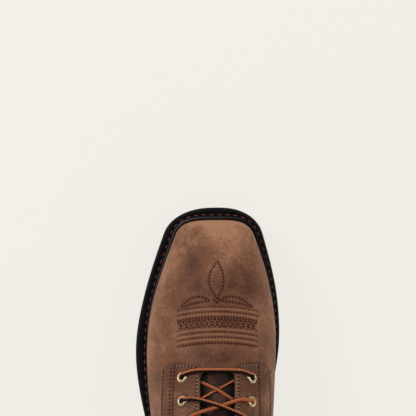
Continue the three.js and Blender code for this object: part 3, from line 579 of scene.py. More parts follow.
def column_shares(rows, side):
    """Shares at which each row is drawn: one column always runs along the throat's edge"""
    edge = share_across(rows, side, THROAT_WIDTH / 2)
    front = smooth((TOE_Y - base_point(rows)[0] - 16 * MM) / (26 * MM))
    plain = EDGE_COLUMNS / (EDGE_COLUMNS + SIDE_COLUMNS)
    edge = plain + (np.minimum(edge, 0.45) - plain) * front
    inner = edge[:, None] * np.linspace(0, 1, EDGE_COLUMNS + 1)
    outer = edge[:, None] + (1 - edge[:, None]) * np.linspace(0, 1, SIDE_COLUMNS + 1)[1:]
    return np.concatenate((inner, outer), axis=1)


def slot_front(x):
    """y of the throat's rounded front edge"""
    corner = np.clip(np.abs(x) - (THROAT_WIDTH / 2 - THROAT_CORNER), 0, THROAT_CORNER)
    return at_share(THROAT_AT) - THROAT_CORNER + np.sqrt(THROAT_CORNER ** 2 - corner ** 2)


def upper_grid():
    """The whole upper as a grid from the lateral base over the ridge to the medial base, with the
    row at which the throat opens"""
    rows = upper_rows()
    middle = row_at(at_share(THROAT_AT), MEDIAL, 0.5 * MM)
    opening = int(np.argmin(np.abs(rows - middle)))
    halves = []
    for side in SIDES:
        shares = column_shares(rows, side)
        columns = shares.shape[1]
        wanted = [row_at(slot_front(across), side, max(across, 0.1 * MM)) - rows[opening]
                  for across in np.linspace(0, THROAT_WIDTH / 2, EDGE_COLUMNS + 1)]
        wanted = np.array(wanted + [wanted[-1]] * (columns - EDGE_COLUMNS - 1))
        fade = np.ones(columns)
        fade[EDGE_COLUMNS:] = 1 - smooth(np.arange(columns - EDGE_COLUMNS) / FADE_COLUMNS)
        along = 1 - smooth(np.abs(np.arange(len(rows)) - opening) / FADE_ROWS)
        shifted = rows[:, None] + along[:, None] * (wanted * fade)[None, :]
        points = np.empty(shares.shape + (3,))
        for j in range(columns):
            points[:, j] = on_upper(shifted[:, j], side, shares[:, j])[:, 0]
        halves.append(points)
    return np.concatenate((halves[0][:, :0:-1], halves[1]), axis=1), opening


def unit(vectors):
    return vectors / np.maximum(np.linalg.norm(vectors, axis=-1, keepdims=True), 1e-12)


def grid_normals(points):
    """Outward normals of a grid whose rows run from toe to heel and columns from lateral to medial"""
    return unit(np.cross(np.gradient(points, axis=0), np.gradient(points, axis=1)))


def lay_grid(bm, points, flip=False):
    """A grid of faces through an array of points, rows by columns, with its UVs"""
    if "UVMap" not in bm.loops.layers.uv:
        bm.loops.layers.uv.new("UVMap")
    rows, columns = points.shape[:2]
    made = bmesh.ops.create_grid(
        bm, x_segments=columns - 1, y_segments=rows - 1, size=1, calc_uvs=True)
    for vert in made["verts"]:
        i = round((vert.co.y + 1) / 2 * (rows - 1))
        j = round((vert.co.x + 1) / 2 * (columns - 1))
        vert.co = points[i, j]
    if flip:
        faces = {face for vert in made["verts"] for face in vert.link_faces}
        bmesh.ops.reverse_faces(bm, faces=list(faces))
    return made["verts"]


def lay_toned(bm, points, tones, flip=False):
    """A grid with tones for its leather, each an array of a value for every point"""
    for name in tones:
        bm.verts.layers.float.new(name)
    verts = lay_grid(bm, points, flip)
    for name, values in tones.items():
        layer = bm.verts.layers.float[name]
        for vert, value in zip(verts, values.reshape(-1)):
            vert[layer] = float(value)


def cut(bm, place, outward):
    """Takes away what lies beyond a plane"""
    bmesh.ops.bisect_plane(
        bm, geom=bm.verts[:] + bm.edges[:] + bm.faces[:], dist=1e-7, plane_co=place, plane_no=outward,
        clear_outer=True)


def bevel_sharp(bm, degrees, width):
    sharp = [e for e in bm.edges
             if len(e.link_faces) == 2 and e.calc_face_angle(0) > math.radians(degrees)]
    bmesh.ops.bevel(
        bm, geom=sharp, offset=width, segments=2, profile=0.5, affect="EDGES", material=-1,
        clamp_overlap=True)


def widest_angle(low, high, holds):
    """The last angle between two at which a test still holds"""
    for _ in range(30):
        middle = (low + high) / 2
        if holds(middle):
            low = middle
        else:
            high = middle
    return low


def keep(bm, name, materials, replaces=(), modifiers=()):
    """Turns a bmesh into a finished piece that rides on the boot"""
    mesh = bpy.data.meshes.new(name)
    bm.to_mesh(mesh)
    bm.free()
    mesh.shade_smooth()
    piece = bpy.data.objects.new(name, mesh)
    bpy.context.scene.collection.objects.link(piece)
    for material in materials:
        mesh.materials.append(material)
    for kind, settings in modifiers:
        modifier = piece.modifiers.new(kind.title(), kind)
        for key, value in settings.items():
            setattr(modifier, key, value)
    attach(piece, "root")
    if replaces:
        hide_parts(*replaces)
    return piece


def leather_edges(thickness, rounding):
    """Modifiers that give a leather sheet its thickness, inwards, and round its cut edges"""
    return (
        ("SOLIDIFY", {"thickness": thickness, "offset": -1, "use_even_offset": True}),
        ("BEVEL", {"width": rounding, "segments": 3, "limit_method": "ANGLE",
                   "angle_limit": math.radians(50), "harden_normals": True}),
    )


# Curves and thread
def curve_through(points, step):
    """A smooth line through chosen points, sampled evenly"""
    points = np.asarray(points, float)
    ghost = np.concatenate(([2 * points[0] - points[1]], points, [2 * points[-1] - points[-2]]))
    if np.allclose(points[0], points[-1]):
        ghost[0] = points[-2]
        ghost[-1] = points[1]
    drawn = []
    for k in range(len(points) - 1):
        a, b, c, d = ghost[k:k + 4]
        for t in np.linspace(0, 1, 16, endpoint=False):
            drawn.append(0.5 * (2 * b + (c - a) * t + (2 * a - 5 * b + 4 * c - d) * t * t
                                + (3 * b - a - 3 * c + d) * t ** 3))
    drawn.append(points[-1])
    return spaced(np.array(drawn), step)


def spaced(line, step):
    """Evenly spaced rows of a line. Columns after the first three, such as normals, only follow."""
    run = walked(line[:, :3])
    count = max(2, int(round(run[-1] / step)) + 1)
    at = np.linspace(0, run[-1], count)
    return np.stack([np.interp(at, run, line[:, k]) for k in range(line.shape[1])], axis=1)


class Sewing:
    """Collects stitches, and their needle holes painted as dark discs of shade, and makes them one mesh"""

    def __init__(self):
        self.body = bmesh.new()
        shape = bmesh.new()
        bmesh.ops.create_uvsphere(shape, u_segments=8, v_segments=5, radius=0.5)
        self.shape = bpy.data.meshes.new("stitch_shape")
        shape.to_mesh(self.shape)
        shape.free()

    def bar(self, place, along, normal, size):
        across = normal.cross(along).normalized()
        turn = Matrix((along, across, normal)).transposed().to_4x4()
        copy = self.shape.copy()
        copy.transform(Matrix.Translation(place) @ turn @ Matrix.Diagonal((*size, 1)))
        self.body.from_mesh(copy)
        bpy.data.meshes.remove(copy)

    def row(self, points, normals, pitch, length, thick, slant=0.0):
        """Stitches along a line on a surface, each turned by the slant"""
        joined = spaced(np.concatenate((points, normals), axis=1), pitch)
        for k in range(len(joined) - 1):
            place = Vector((joined[k, :3] + joined[k + 1, :3]) / 2)
            along = Vector(joined[k + 1, :3] - joined[k, :3]).normalized()
            normal = Vector(joined[k, 3:] + joined[k + 1, 3:]).normalized()
            normal = (normal - along * normal.dot(along)).normalized()
            along = along * math.cos(slant) + normal.cross(along) * math.sin(slant)
            self.bar(place, along, normal, (length, thick, thick * 0.8))

    def holes(self, points, normals, pitch, width, rise=0.1 * MM):
        """Needle holes between the stitches of a row, painted as small dark discs of shade"""
        for spot in spaced(np.concatenate((points, normals), axis=1), pitch):
            normal = Vector(spot[3:]).normalized()
            along = normal.orthogonal().normalized()
            self.bar(Vector(spot[:3]) + normal * rise, along, normal, (width, width, HOLE_THICK))

    def finish(self, name, material):
        bpy.data.meshes.remove(self.shape)
        keep(self.body, name, [finish(material)])


class Surface:
    """Finds places on a grid of points by casting rays at it"""

    def __init__(self, points):
        rows, columns = points.shape[:2]
        index = np.arange(rows * columns).reshape(rows, columns)
        faces = np.stack((index[:-1, :-1], index[1:, :-1], index[1:, 1:], index[:-1, 1:]), axis=-1)
        self.tree = BVHTree.FromPolygons(points.reshape(-1, 3).tolist(), faces.reshape(-1, 4).tolist())

    def below(self, x, y):
        """The place and upward normal under a point of the plan"""
        place, normal, _, _ = self.tree.ray_cast(Vector((x, y, 1)), Vector((0, 0, -1)))
        if normal.z < 0:
            normal = -normal
        return place, normal

    def toward(self, start, way):
        """The place and outward normal where a ray from inside meets the grid"""
        place, normal, _, _ = self.tree.ray_cast(start, way)
        return place, normal if normal.dot(way) >= 0 else -normal

    def round(self, z, angle, centre_y):
        """The same at a height, at an angle round from the back"""
        return self.toward(Vector((0, centre_y, z)), Vector((math.sin(angle), -math.cos(angle), 0)))

    def line_below(self, plan):
        hits = [self.below(x, y) for x, y in plan]
        return np.array([p for p, _ in hits]), np.array([n for _, n in hits])


def in_plan(line):
    """A line across and back from the toe tip, as x and y"""
    return np.stack((line[:, 0], TOE_Y - line[:, 1]), axis=1)


def bowed(at):
    """A row across the vamp, in mm, bowed forward in the middle"""
    half = BOW_HALF / MM
    return [(x, at + CORD_BOW / MM * (x / half) ** 2) for x in np.linspace(-half, half, 9)]


def zigzag(start):
    """One criss-cross line between the edges of the stitched band"""
    half = BOW_HALF / MM - 0.5
    count = int(2 * half / (BAND_PERIOD / 2))
    edges = (BAND_TO, BAND_FROM)
    return [(x, edges[(k + start) % 2] + CORD_BOW / MM * (x / half) ** 2)
            for k, x in enumerate(np.linspace(-half, half, count + 1))]


def vamp_lines():
    """Every stitched line of the vamp, in plan"""
    curved = [FLAME, KNOT, LATERAL_ARCH, MEDIAL_ARCH, LATERAL_SPUR, MEDIAL_SPUR]
    curved += [bowed(at) for at in ROW_AT] + [bowed(BAND_FROM - 0.4), bowed(BAND_TO + 0.4)]
    lines = [curve_through(np.array(line) * MM, PLAN_STEP) for line in curved]
    lines += [spaced(np.array(zigzag(start)) * MM, PLAN_STEP) for start in (0, 1)]
    return [in_plan(line) for line in lines]


def vamp_relief(points):
    """Height of the cords, sunk seams and puffed leather of the vamp, and painted shade for the leather along
    the seams
    """
    x = points[..., 0]
    back = TOE_Y - points[..., 1]
    height = np.zeros(x.shape)
    bow = CORD_BOW * (x / BOW_HALF) ** 2
    ends = smooth((BOW_HALF + 0.8 * MM - np.abs(x)) / (2.5 * MM))
    facing = smooth((points[..., 2] - CORDS_ABOVE) / (10 * MM))
    for at in CORDS_AT:
        off = np.abs(back - bow - at * LENGTH) / (CORD_WIDTH * 0.62)
        height += 1.15 * CORD_RISE * np.sqrt(np.clip(1 - off ** 2, 0, 1)) * ends * facing
    near = (back > FIGURES_FROM) & (back < FIGURES_TO)
    near &= (np.abs(x) < FIGURES_HALF) & (points[..., 2] > FIGURES_ABOVE)
    spots = points[near]
    closest = np.full(len(spots), 1.0)
    for line in vamp_lines():
        for place in line[::2]:
            closest = np.minimum(closest, np.hypot(*(spots[:, :2] - place).T))
    seam_and_shade = np.zeros(x.shape)
    seam_and_shade[near] = np.exp(-(closest / SEAM_REACH) ** 2)
    puff = np.zeros(x.shape)
    puff[near] = smooth(closest / PUFF_FROM) * np.exp(-(closest / PUFF_TO) ** 2)
    # The second value is painted shade that darkens the leather along the sunk seams
    return height - SEAM_DEPTH * seam_and_shade + PUFF_RISE * puff, 0.4 * seam_and_shade


def crease_relief(rows, shares, side):
    """Soft troughs with a ridge beside them, at the listed places"""
    height = np.zeros(shares.shape)
    for row, crease_side, share, row_run, share_run, depth in CREASES:
        if crease_side != side:
            continue
        u = (rows[:, None] - row) / row_run + 2.2 * (shares - share)
        v = (shares - share) / share_run
        body = np.exp(-v ** 2)
        height += depth * MM * body * (0.55 * np.exp(-((u - 1.3) / 0.9) ** 2) - np.exp(-(u / 0.8) ** 2))
    return height


def wear_and_light(points):
    """Light and dark places of the leather from the listed spots: scuffs together with painted highlight and
    shade
    """
    back = (TOE_Y - points[..., 1]) / MM
    x = points[..., 0] / MM
    total = np.zeros(x.shape)
    for along, across, reach, amount in WEAR_AND_LIGHT_SPOTS:
        total += amount * np.exp(-((back - along) ** 2 + (x - across) ** 2) / reach ** 2)
    return total


# The plan of the sole
OUTLINE_T = np.linspace(0, len(OUTLINE_ROWS) - 1, 600)
OUTLINE_Y = at_share(blend(OUTLINE["along"], OUTLINE_T))


def sole_half(y, side):
    t = np.interp(-y, -OUTLINE_Y, OUTLINE_T)
    width = BALL_WIDTH * blend(OUTLINE[SIDES[side]], t)
    toe = round_end(TOE_Y - y, SOLE_TOE_ROUND, SOLE_TOE_SQUARE)
    return width * toe * round_end(y + HEEL_BEHIND, SOLE_HEEL_ROUND, SOLE_HEEL_SQUARE)


FEATHER_ROWS = np.linspace(0, HEEL_ROW, 1200)
FEATHER_Y = base_point(FEATHER_ROWS)[0]


def feather_half(y, side):
    u = np.interp(-y, -FEATHER_Y, FEATHER_ROWS)
    base_y, base_z = base_point(u)
    return half_width(u, 0, side, base_y, base_z)


def plan_loop(half, back_y, front_y, grow, samples=SOLE_SAMPLES):
    """A loop in plan from the heel up the lateral side, round the toe and back"""
    turn = np.arange(samples + 1) / samples
    y = back_y + (front_y - back_y) * (1 - np.cos(np.pi * turn)) / 2
    lateral = np.stack((-half(y, LATERAL), y), axis=1)
    medial = np.stack((half(y, MEDIAL), y), axis=1)[::-1]
    lateral[[0, -1], 0] = 0
    loop = np.concatenate((lateral[:-1], medial[:-1]))
    along = unit(np.roll(loop, -1, axis=0) - np.roll(loop, 1, axis=0))
    return loop + grow * np.stack((-along[:, 1], along[:, 0]), axis=1)


def sole_loop(inset, samples=SOLE_SAMPLES):
    return plan_loop(sole_half, -HEEL_BEHIND, TOE_Y, -inset, samples)


def feather_loop(grow, samples=SOLE_SAMPLES):
    return plan_loop(feather_half, FEATHER_Y[-1], TOE_Y - TOE_SETBACK, grow, samples)


def lifted(loop, height):
    return np.column_stack((loop, sole_lift(loop[:, 1]) + height))


def stack(steps, samples=SOLE_SAMPLES):
    """Loops of the sole's plan, one for each inset and height"""
    return [lifted(sole_loop(inset, samples), height) for inset, height in steps]


def loft(bm, loops, ring=False):
    """Faces between loops, bottom to top, capped across or closed on themselves"""
    loops = np.array(loops)
    wrapped = np.concatenate((loops, loops[:, :1]), axis=1)
    if ring:
        wrapped = np.concatenate((wrapped, wrapped[:1]))
    verts = list(lay_grid(bm, wrapped, flip=True))
    if not ring:
        half = loops.shape[1] // 2
        for loop, flip in ((loops[0], False), (loops[-1], True)):
            medial = np.concatenate((loop[:1], loop[:half - 1:-1]))
            lateral = loop[:half + 1]
            across = np.linspace(0, 1, 9)[None, :, None]
            cap = lateral[:, None] * (1 - across) + medial[:, None] * across
            verts += lay_grid(bm, cap, flip=flip)
    bmesh.ops.remove_doubles(bm, verts=verts, dist=1e-6)
    bmesh.ops.recalc_face_normals(bm, faces=bm.faces)


# Shader groups
def node_group(name, inputs, outputs):
    group = bpy.data.node_groups.new(name, "ShaderNodeTree")
    for socket, kind, default in inputs:
        made = group.interface.new_socket(socket, in_out="INPUT", socket_type=kind)
        if default is not None:
            made.default_value = default
    for socket, kind in outputs:
        group.interface.new_socket(socket, in_out="OUTPUT", socket_type=kind)
    start = group.nodes.new("NodeGroupInput")
    end = group.nodes.new("NodeGroupOutput")
    return group, start, end


class Wiring:
    """Adds nodes to a tree and links them"""

    def __init__(self, tree):
        self.tree = tree

    def node(self, kind, settings=None, **inputs):
        node = self.tree.nodes.new(kind)
        for key, value in (settings or {}).items():
            setattr(node, key, value)
        for key, value in inputs.items():
            socket = node.inputs[int(key[1:])] if key[1:].isdigit() else node.inputs[key.replace("_", " ")]
            self.feed(socket, value)
        return node

    def feed(self, socket, value):
        if isinstance(value, bpy.types.NodeSocket):
            self.tree.links.new(value, socket)
        elif hasattr(value, "__len__") and len(value) == 3 and socket.type == "RGBA":
            socket.default_value = (*value, 1)
        else:
            socket.default_value = value

    def shade(self, **inputs):
        """Sets inputs of the tree's own shader"""
        for key, value in inputs.items():
            self.feed(self.tree.nodes["Principled BSDF"].inputs[key.replace("_", " ")], value)

    def place(self):
        return self.node("ShaderNodeTexCoord").outputs["Object"]

    def bump(self, height, distance):
        return self.node(
            "ShaderNodeBump", None, Strength=1.0, Distance=distance, Height=height).outputs[0]

    def math(self, operation, a, b=0.5):
        return self.node("ShaderNodeMath", {"operation": operation}, i0=a, i1=b).outputs[0]

    def scaled(self, value, factor, plus=0.0):
        """A value times a factor, and something added if it is given"""
        times = self.math("MULTIPLY", value, factor)
        return self.math("ADD", times, plus) if plus else times

    def mix(self, factor, a, b):
        return self.node("ShaderNodeMix", {"data_type": "RGBA"}, i0=factor, i6=a, i7=b).outputs[2]

    def ramp(self, value, low, high):
        """A value stretched so that low is 0 and high is 1"""
        return self.node("ShaderNodeMapRange", None, i0=value, i1=low, i2=high).outputs[0]

    def noise(self, vector, scale, detail=4.0, rough=0.55, distort=0.0):
        return self.node(
            "ShaderNodeTexNoise", None, Vector=vector, Scale=scale, Detail=detail, Roughness=rough,
            Distortion=distort).outputs[0]


def grain_group():
    """Fine pebbled grain with pores and a soft nap. Height is 0 to 1."""
    group, start, end = node_group(
        "Leather Grain",
        [("Vector", "NodeSocketVector", None), ("Scale", "NodeSocketFloat", 900.0),
         ("Nap", "NodeSocketFloat", 0.5)],
        [("Height", "NodeSocketFloat"), ("Pores", "NodeSocketFloat")])
    w = Wiring(group)
    place, scale, share = start.outputs[:3]
    cells = w.node(
        "ShaderNodeTexVoronoi", {"feature": "DISTANCE_TO_EDGE"}, Vector=place, Scale=scale).outputs[0]
    pebble = w.ramp(cells, 0.0, 0.35)
    nap = w.math("MULTIPLY", w.noise(place, w.scaled(scale, 2.6), 3.0, 0.7), share)
    w.feed(end.inputs[0], w.math("ADD", nap, w.math("MULTIPLY", pebble, w.math("SUBTRACT", 1.0, share))))
    w.feed(end.inputs[1], pebble)
    return group


def mottle_group():
    """Uneven tone of waxed leather, from broad clouds to small rubbed flecks. Its second input shifts the
    tone with scuffs together with painted highlight and shade. Tone is about 0 to 1.
    """
    group, start, end = node_group(
        "Waxed Mottle",
        [("Vector", "NodeSocketVector", None), ("Wear", "NodeSocketFloat", 0.0),
         ("Contrast", "NodeSocketFloat", 1.0)],
        [("Tone", "NodeSocketFloat")])
    w = Wiring(group)
    place, worn_and_lit, contrast = start.outputs[:3]
    broad = w.noise(place, 17.0, 4.0, 0.55, 0.4)
    middle = w.noise(place, 70.0, 5.0, 0.6, 0.3)
    fine = w.noise(place, 420.0, 3.0, 0.6)
    total = w.math("ADD", w.scaled(broad, 0.42), w.scaled(middle, 0.32))
    total = w.math("ADD", total, w.scaled(fine, 0.26))
    spread_out = w.math("MULTIPLY", w.math("SUBTRACT", total, 0.5), w.scaled(contrast, 3.0))
    # Its second input lightens and darkens the tone: scuffs together with painted highlight and shade
    tone = w.math("ADD", w.math("ADD", spread_out, 0.46), w.scaled(worn_and_lit, 0.62))
    w.feed(end.inputs[0], w.math("MINIMUM", w.math("MAXIMUM", tone, 0.0), 1.0))
    return group


def weave_group():
    """Crossing yarns on a piece's place. Height is 0 to 1."""
    group, start, end = node_group(
        "Woven Cloth",
        [("Vector", "NodeSocketVector", None), ("Scale", "NodeSocketFloat", 700.0)],
        [("Height", "NodeSocketFloat")])
    w = Wiring(group)
    scaled = w.node("ShaderNodeVectorMath", {"operation": "SCALE"}, i0=start.outputs[0])
    w.feed(scaled.inputs[3], start.outputs[1])
    x, y, z = w.node("ShaderNodeSeparateXYZ", None, i0=scaled.outputs[0]).outputs[:3]
    ribs = [w.math("ABSOLUTE", w.math("SINE", w.math(way, a, z))) for way, a in (("ADD", x), ("SUBTRACT", y))]
    w.feed(end.inputs[0], w.math("MULTIPLY", *ribs))
    return group


groups = {}


def group_node(w, name, **inputs):
    if name not in groups:
        groups[name] = {"grain": grain_group, "mottle": mottle_group, "weave": weave_group}[name]()
    node = w.tree.nodes.new("ShaderNodeGroup")
    node.node_tree = groups[name]
    for key, value in inputs.items():
        w.feed(node.inputs[key], value)
    return node


def new_material(name):
    material = bpy.data.materials.new(name)
    material.use_nodes = True
    return material, Wiring(material.node_tree)


def darker(colour, share):
    return tuple(part * share for part in colour)


def leather_material(name, light, body, dark, contrast=1.0, grain_scale=900.0, nap=0.55, rough=0.62):
    """Waxed nubuck, dark where it is oiled. Its spots hold scuffs and painted highlight and shade;
    raised relief gets a painted highlight, and seams, eyestay edges and the tongue's sides painted shade
    """
    material, w = new_material(name)
    place = w.place()
    worn_and_lit, seam_and_shade, raised = (
        w.node("ShaderNodeAttribute", {"attribute_name": tone}).outputs["Fac"]
        for tone in ("wear_and_light", "seam_and_shade", "raised"))
    tone = group_node(w, "mottle", Vector=place, Wear=worn_and_lit, Contrast=contrast).outputs[0]
    low = w.mix(w.ramp(tone, 0.0, 0.5), dark, body)
    colour = w.mix(w.ramp(tone, 0.5, 1.0), low, light)
    # Painted highlight: raised relief, such as the cords, is lightened toward the light colour
    colour = w.mix(w.scaled(raised, 0.38), colour, light)
    # Painted shade: along sunk seams, beside the eyestays and on the tongue's sides the leather darkens
    colour = w.mix(w.scaled(seam_and_shade, 0.8), colour, darker(dark, 0.4))
    grain = group_node(w, "grain", Vector=place, Scale=grain_scale, Nap=nap)
    pores = w.ramp(grain.outputs["Pores"], 0.0, 0.6)
    wrinkle = w.noise(place, 260.0, 4.0, 0.6, 0.6)
    height = w.math("ADD", grain.outputs["Height"], w.scaled(wrinkle, 1.4))
    w.shade(
        Base_Color=w.mix(w.scaled(w.math("SUBTRACT", 1.0, pores), 0.22), colour, dark),
        Roughness=w.scaled(tone, 0.16, rough - 0.08), Normal=w.bump(height, sizes().grain),
        Sheen_Weight=0.03, Sheen_Roughness=0.45, Sheen_Tint=(0.95, 0.78, 0.62),
        Specular_IOR_Level=0.18)
    return material


def rubber_material(name, rough, coat, shine, shine_where_lit=False):
    """Black rubber with a little dust. With shine_where_lit its coat and specular fade toward the medial side
    and the specular turns blue-grey: a painted highlight kept to the lateral side and the toe, under the key
    light
    """
    material, w = new_material(name)
    place = w.place()
    dust = w.ramp(w.noise(place, 120.0, 5.0, 0.6), 0.42, 0.8)
    w.shade(
        Base_Color=w.mix(w.scaled(dust, 0.08), tuple(colours().rubber), (0.055, 0.052, 0.05)),
        Roughness=w.scaled(dust, 0.14, rough), Normal=w.bump(w.noise(place, 2400.0, 2.0, 0.5), 0.04 * MM),
        Specular_IOR_Level=shine, Coat_Weight=coat, Coat_Roughness=0.22)
    if shine_where_lit:
        # Painted highlight: rubbed here is how far toward the medial side a place lies; the shine fades
        # there, away from the key light
        across = w.node("ShaderNodeSeparateXYZ", None, Vector=place).outputs["X"]
        rubbed = w.ramp(across, 0.004, 0.026)
        lit_side_shine = w.math("SUBTRACT", 1.0, w.scaled(rubbed, 0.85))
        w.shade(
            Coat_Weight=w.scaled(w.math("SUBTRACT", 1.0, rubbed), coat),
            Specular_IOR_Level=w.scaled(lit_side_shine, shine), Specular_Tint=(0.62, 0.80, 1.0))
    return material


def thread_material(name, colour, rough=0.6):
    material, w = new_material(name)
    strands = w.noise(w.place(), 3600.0, 2.0, 0.5)
    w.shade(
        Base_Color=w.mix(w.ramp(strands, 0.35, 0.65), darker(colour, 0.7), tuple(colour)),
        Roughness=rough, Normal=w.bump(strands, 0.1 * MM))
    return material


def lining_material():
    material, w = new_material("lining_cloth")
    weave = group_node(w, "weave", Vector=w.place(), Scale=2600.0).outputs[0]
    base = tuple(colours().lining)
    w.shade(
        Base_Color=w.mix(weave, darker(base, 0.5), base), Roughness=0.9,
        Normal=w.bump(weave, 0.25 * MM), Sheen_Weight=0.3)
    return material


def footbed_material():
    material, w = new_material("footbed_cloth")
    place = w.place()
    weave = group_node(w, "weave", Vector=place, Scale=1500.0).outputs[0]
    colour = w.mix(w.noise(place, 60.0, 4.0, 0.6), (0.035, 0.035, 0.037), (0.075, 0.072, 0.07))
    w.shade(
        Base_Color=w.mix(weave, (0.02, 0.02, 0.021), colour), Roughness=0.88,
        Normal=w.bump(weave, 0.4 * MM))
    return material


def brass_material():
    material, w = new_material("brass")
    place = w.place()
    tarnish = w.ramp(w.noise(place, 700.0, 4.0, 0.65), 0.45, 0.72)
    w.shade(
        Base_Color=w.mix(w.scaled(tarnish, 0.55), tuple(colours().brass), (0.30, 0.19, 0.08)),
        Roughness=w.scaled(tarnish, 0.25, 0.22), Metallic=1.0,
        Normal=w.bump(w.noise(place, 1800.0, 2.0, 0.5), 0.05 * MM))
    return material


def lace_material():
    """Two colours of yarn, one on each side of the cord, in a fine slanting braid"""
    material, w = new_material("lace_braid")
    split = w.node("ShaderNodeSeparateXYZ", None, i0=w.node("ShaderNodeTexCoord").outputs["UV"])
    round_way, along = split.outputs[0], split.outputs[1]
    yarns = w.scaled(round_way, LACE_YARNS * math.tau)
    braid = w.math("SINE", w.math("ADD", yarns, along))
    counter = w.math("SINE", w.math("SUBTRACT", yarns, along))
    height = w.math("MULTIPLY", w.math("ADD", braid, 1.0), w.math("ADD", counter, 1.0))
    height = w.scaled(height, 0.25)
    side = w.math("ADD", round_way, w.scaled(braid, 0.025))
    bright = w.math(
        "MULTIPLY", w.math("GREATER_THAN", side, LACE_SPLIT), w.math("LESS_THAN", side, 1 - LACE_SPLIT))
    shade = w.ramp(height, 0.0, 0.9)
    bright_yarn = w.mix(shade, darker(colours().lace_bright, 0.42), tuple(colours().lace_bright))
    dark_yarn = w.mix(shade, (0.004, 0.004, 0.005), tuple(colours().lace_dark))
    w.shade(
        Base_Color=w.mix(bright, dark_yarn, bright_yarn), Roughness=0.58,
        Normal=w.bump(height, 0.22 * MM), Specular_IOR_Level=0.2)
    return material


finishes = {}


def finish(name):
    """A material by its plain name, made once"""
    if name not in finishes:
        c = colours()
        light, body, dark = tuple(c.leather_light), tuple(c.leather), tuple(c.leather_dark)
        makers = {
            "leather": lambda: leather_material("waxed_leather", light, body, dark),
            "overlay": lambda: leather_material(
                "overlay_leather", light, darker(body, 0.7), darker(dark, 0.8), 0.9),
            "collar": lambda: leather_material(
                "collar_leather", body, darker(body, 0.6), darker(dark, 0.6), 0.8, 1400.0, 0.3, 0.5),
            "tongue": lambda: leather_material(
                "tongue_leather", body, tuple(c.tongue), darker(c.tongue, 0.5), 0.9, 700.0, 0.4, 0.66),
            "lining": lining_material,
            "footbed": footbed_material,
            "rubber": lambda: rubber_material("sole_rubber", 0.48, 0.0, 0.2),
            "welt": lambda: rubber_material("welt_rubber", 0.55, 0.0, 0.08),
            "bead": lambda: rubber_material("bead_rubber", 0.32, 0.6, 0.7, shine_where_lit=True),
            "brass": brass_material,
            "lace": lace_material,
            "thread_dark": lambda: thread_material("dark_thread", c.thread_dark),
            "thread_light": lambda: thread_material("light_thread", c.thread_light),
            "thread_rust": lambda: thread_material("rust_thread", c.thread_rust),
            # Painted shade: the needle holes are near-black discs laid on the leather
            "hole_shade": lambda: thread_material("needle_hole", (0.008, 0.003, 0.002), 1.0),
        }
        finishes[name] = makers[name]()
    return finishes[name]


shapes = {}


def upper_shape():
    """The upper's plain grid, its normals, and the surface that other pieces are laid on"""
    if not shapes:
        points, opening = upper_grid()
        shapes["points"] = points
        shapes["opening"] = opening
        shapes["normals"] = grid_normals(points)
        shapes["surface"] = Surface(points)
    return shapes


def eyestay_shade(rows, shares, side):
    """How close each place of the upper is to an eyestay's edge, 0 to 1"""
    girth = sections(rows, side)[1][:, -1:]
    beyond = (shares - throat_share(rows, side, 0)[:, None]) * girth
    across, starts = eyestay_rows(side, 80)
    ahead = (np.interp(beyond, across, starts) - rows[:, None]) * ROW_LENGTH
    beyond = beyond / spread(rows[:, None], starts)
    beside = np.maximum(beyond - eyestay_width(side), -beyond)
    away = np.maximum(np.maximum(ahead, beside), 0)
    return np.exp(-(away / SHADE_REACH) ** 2)


class BuildUpper(bpy.types.Operator):
    """Builds the hollow leather upper, with its cords, seams and soft creases"""

    bl_idname = "boot.upper"
    bl_label = "Upper"

    def execute(self, context):
        shape = upper_shape()
        points, normals, opening = shape["points"], shape["normals"], shape["opening"]
        relief, seam_and_shade = vamp_relief(points)
        rows = upper_rows()
        width = EDGE_COLUMNS + SIDE_COLUMNS
        for side in SIDES:
            shares = column_shares(rows, side)
            creases = crease_relief(rows, shares, side)
            # Painted shade on the upper beside the eyestays' edges
            shade = 0.75 * eyestay_shade(rows, shares, side)
            if side < 0:
                relief[:, :width + 1] += creases[:, ::-1]
                seam_and_shade[:, :width + 1] = np.maximum(seam_and_shade[:, :width + 1], shade[:, ::-1])
            else:
                relief[:, width:] += creases
                seam_and_shade[:, width:] = np.maximum(seam_and_shade[:, width:], shade)
        skin = points + normals * relief[..., None]
        skin[0] = points[0]
        bm = bmesh.new()
        tones = {"wear_and_light": wear_and_light(points), "seam_and_shade": seam_and_shade, "raised": np.clip(relief / CORD_RISE, 0, 1)}
        lay_toned(bm, skin, tones, flip=True)
        bm.verts.index_update()
        gone = []
        for face in bm.faces:
            cells = [divmod(vert.index, skin.shape[1]) for vert in face.verts]
            if all(i >= opening and abs(j - width) <= EDGE_COLUMNS for i, j in cells):
                gone.append(face)
        bmesh.ops.delete(bm, geom=gone, context="FACES")
        bmesh.ops.remove_doubles(bm, verts=bm.verts, dist=1e-6)
        keep(bm, "upper_leather", [finish("leather"), finish("lining")], ["upper"], (
            ("SOLIDIFY", {"thickness": WALL, "offset": -1, "material_offset": 1,
                          "use_quality_normals": True}),
        ))
        return {"FINISHED"}


class BuildVampStitches(bpy.types.Operator):
    """Sews the flame, arches, rows and criss-cross band on the vamp"""

    bl_idname = "boot.vamp_stitches"
    bl_label = "Vamp Stitches"

    def execute(self, context):
        surface = upper_shape()["surface"]
        pitch = sizes().stitch * VAMP_PITCH
        sewing, holes = Sewing(), Sewing()
        for plan in vamp_lines():
            points, normals = surface.line_below(plan)
            sunk = points - STITCH_SUNK * normals
            sewing.row(sunk, normals, pitch, pitch * 0.56, sizes().thread * 1.15, VAMP_SLANT)
            holes.holes(sunk, normals, pitch, VAMP_HOLE)
        sewing.finish("vamp_stitches", "thread_dark")
        holes.finish("vamp_needle_hole_shade", "hole_shade")
        return {"FINISHED"}


def eyestay_width(side):
    return EYESTAY_WIDTH_MEDIAL if side > 0 else EYESTAY_WIDTH_LATERAL


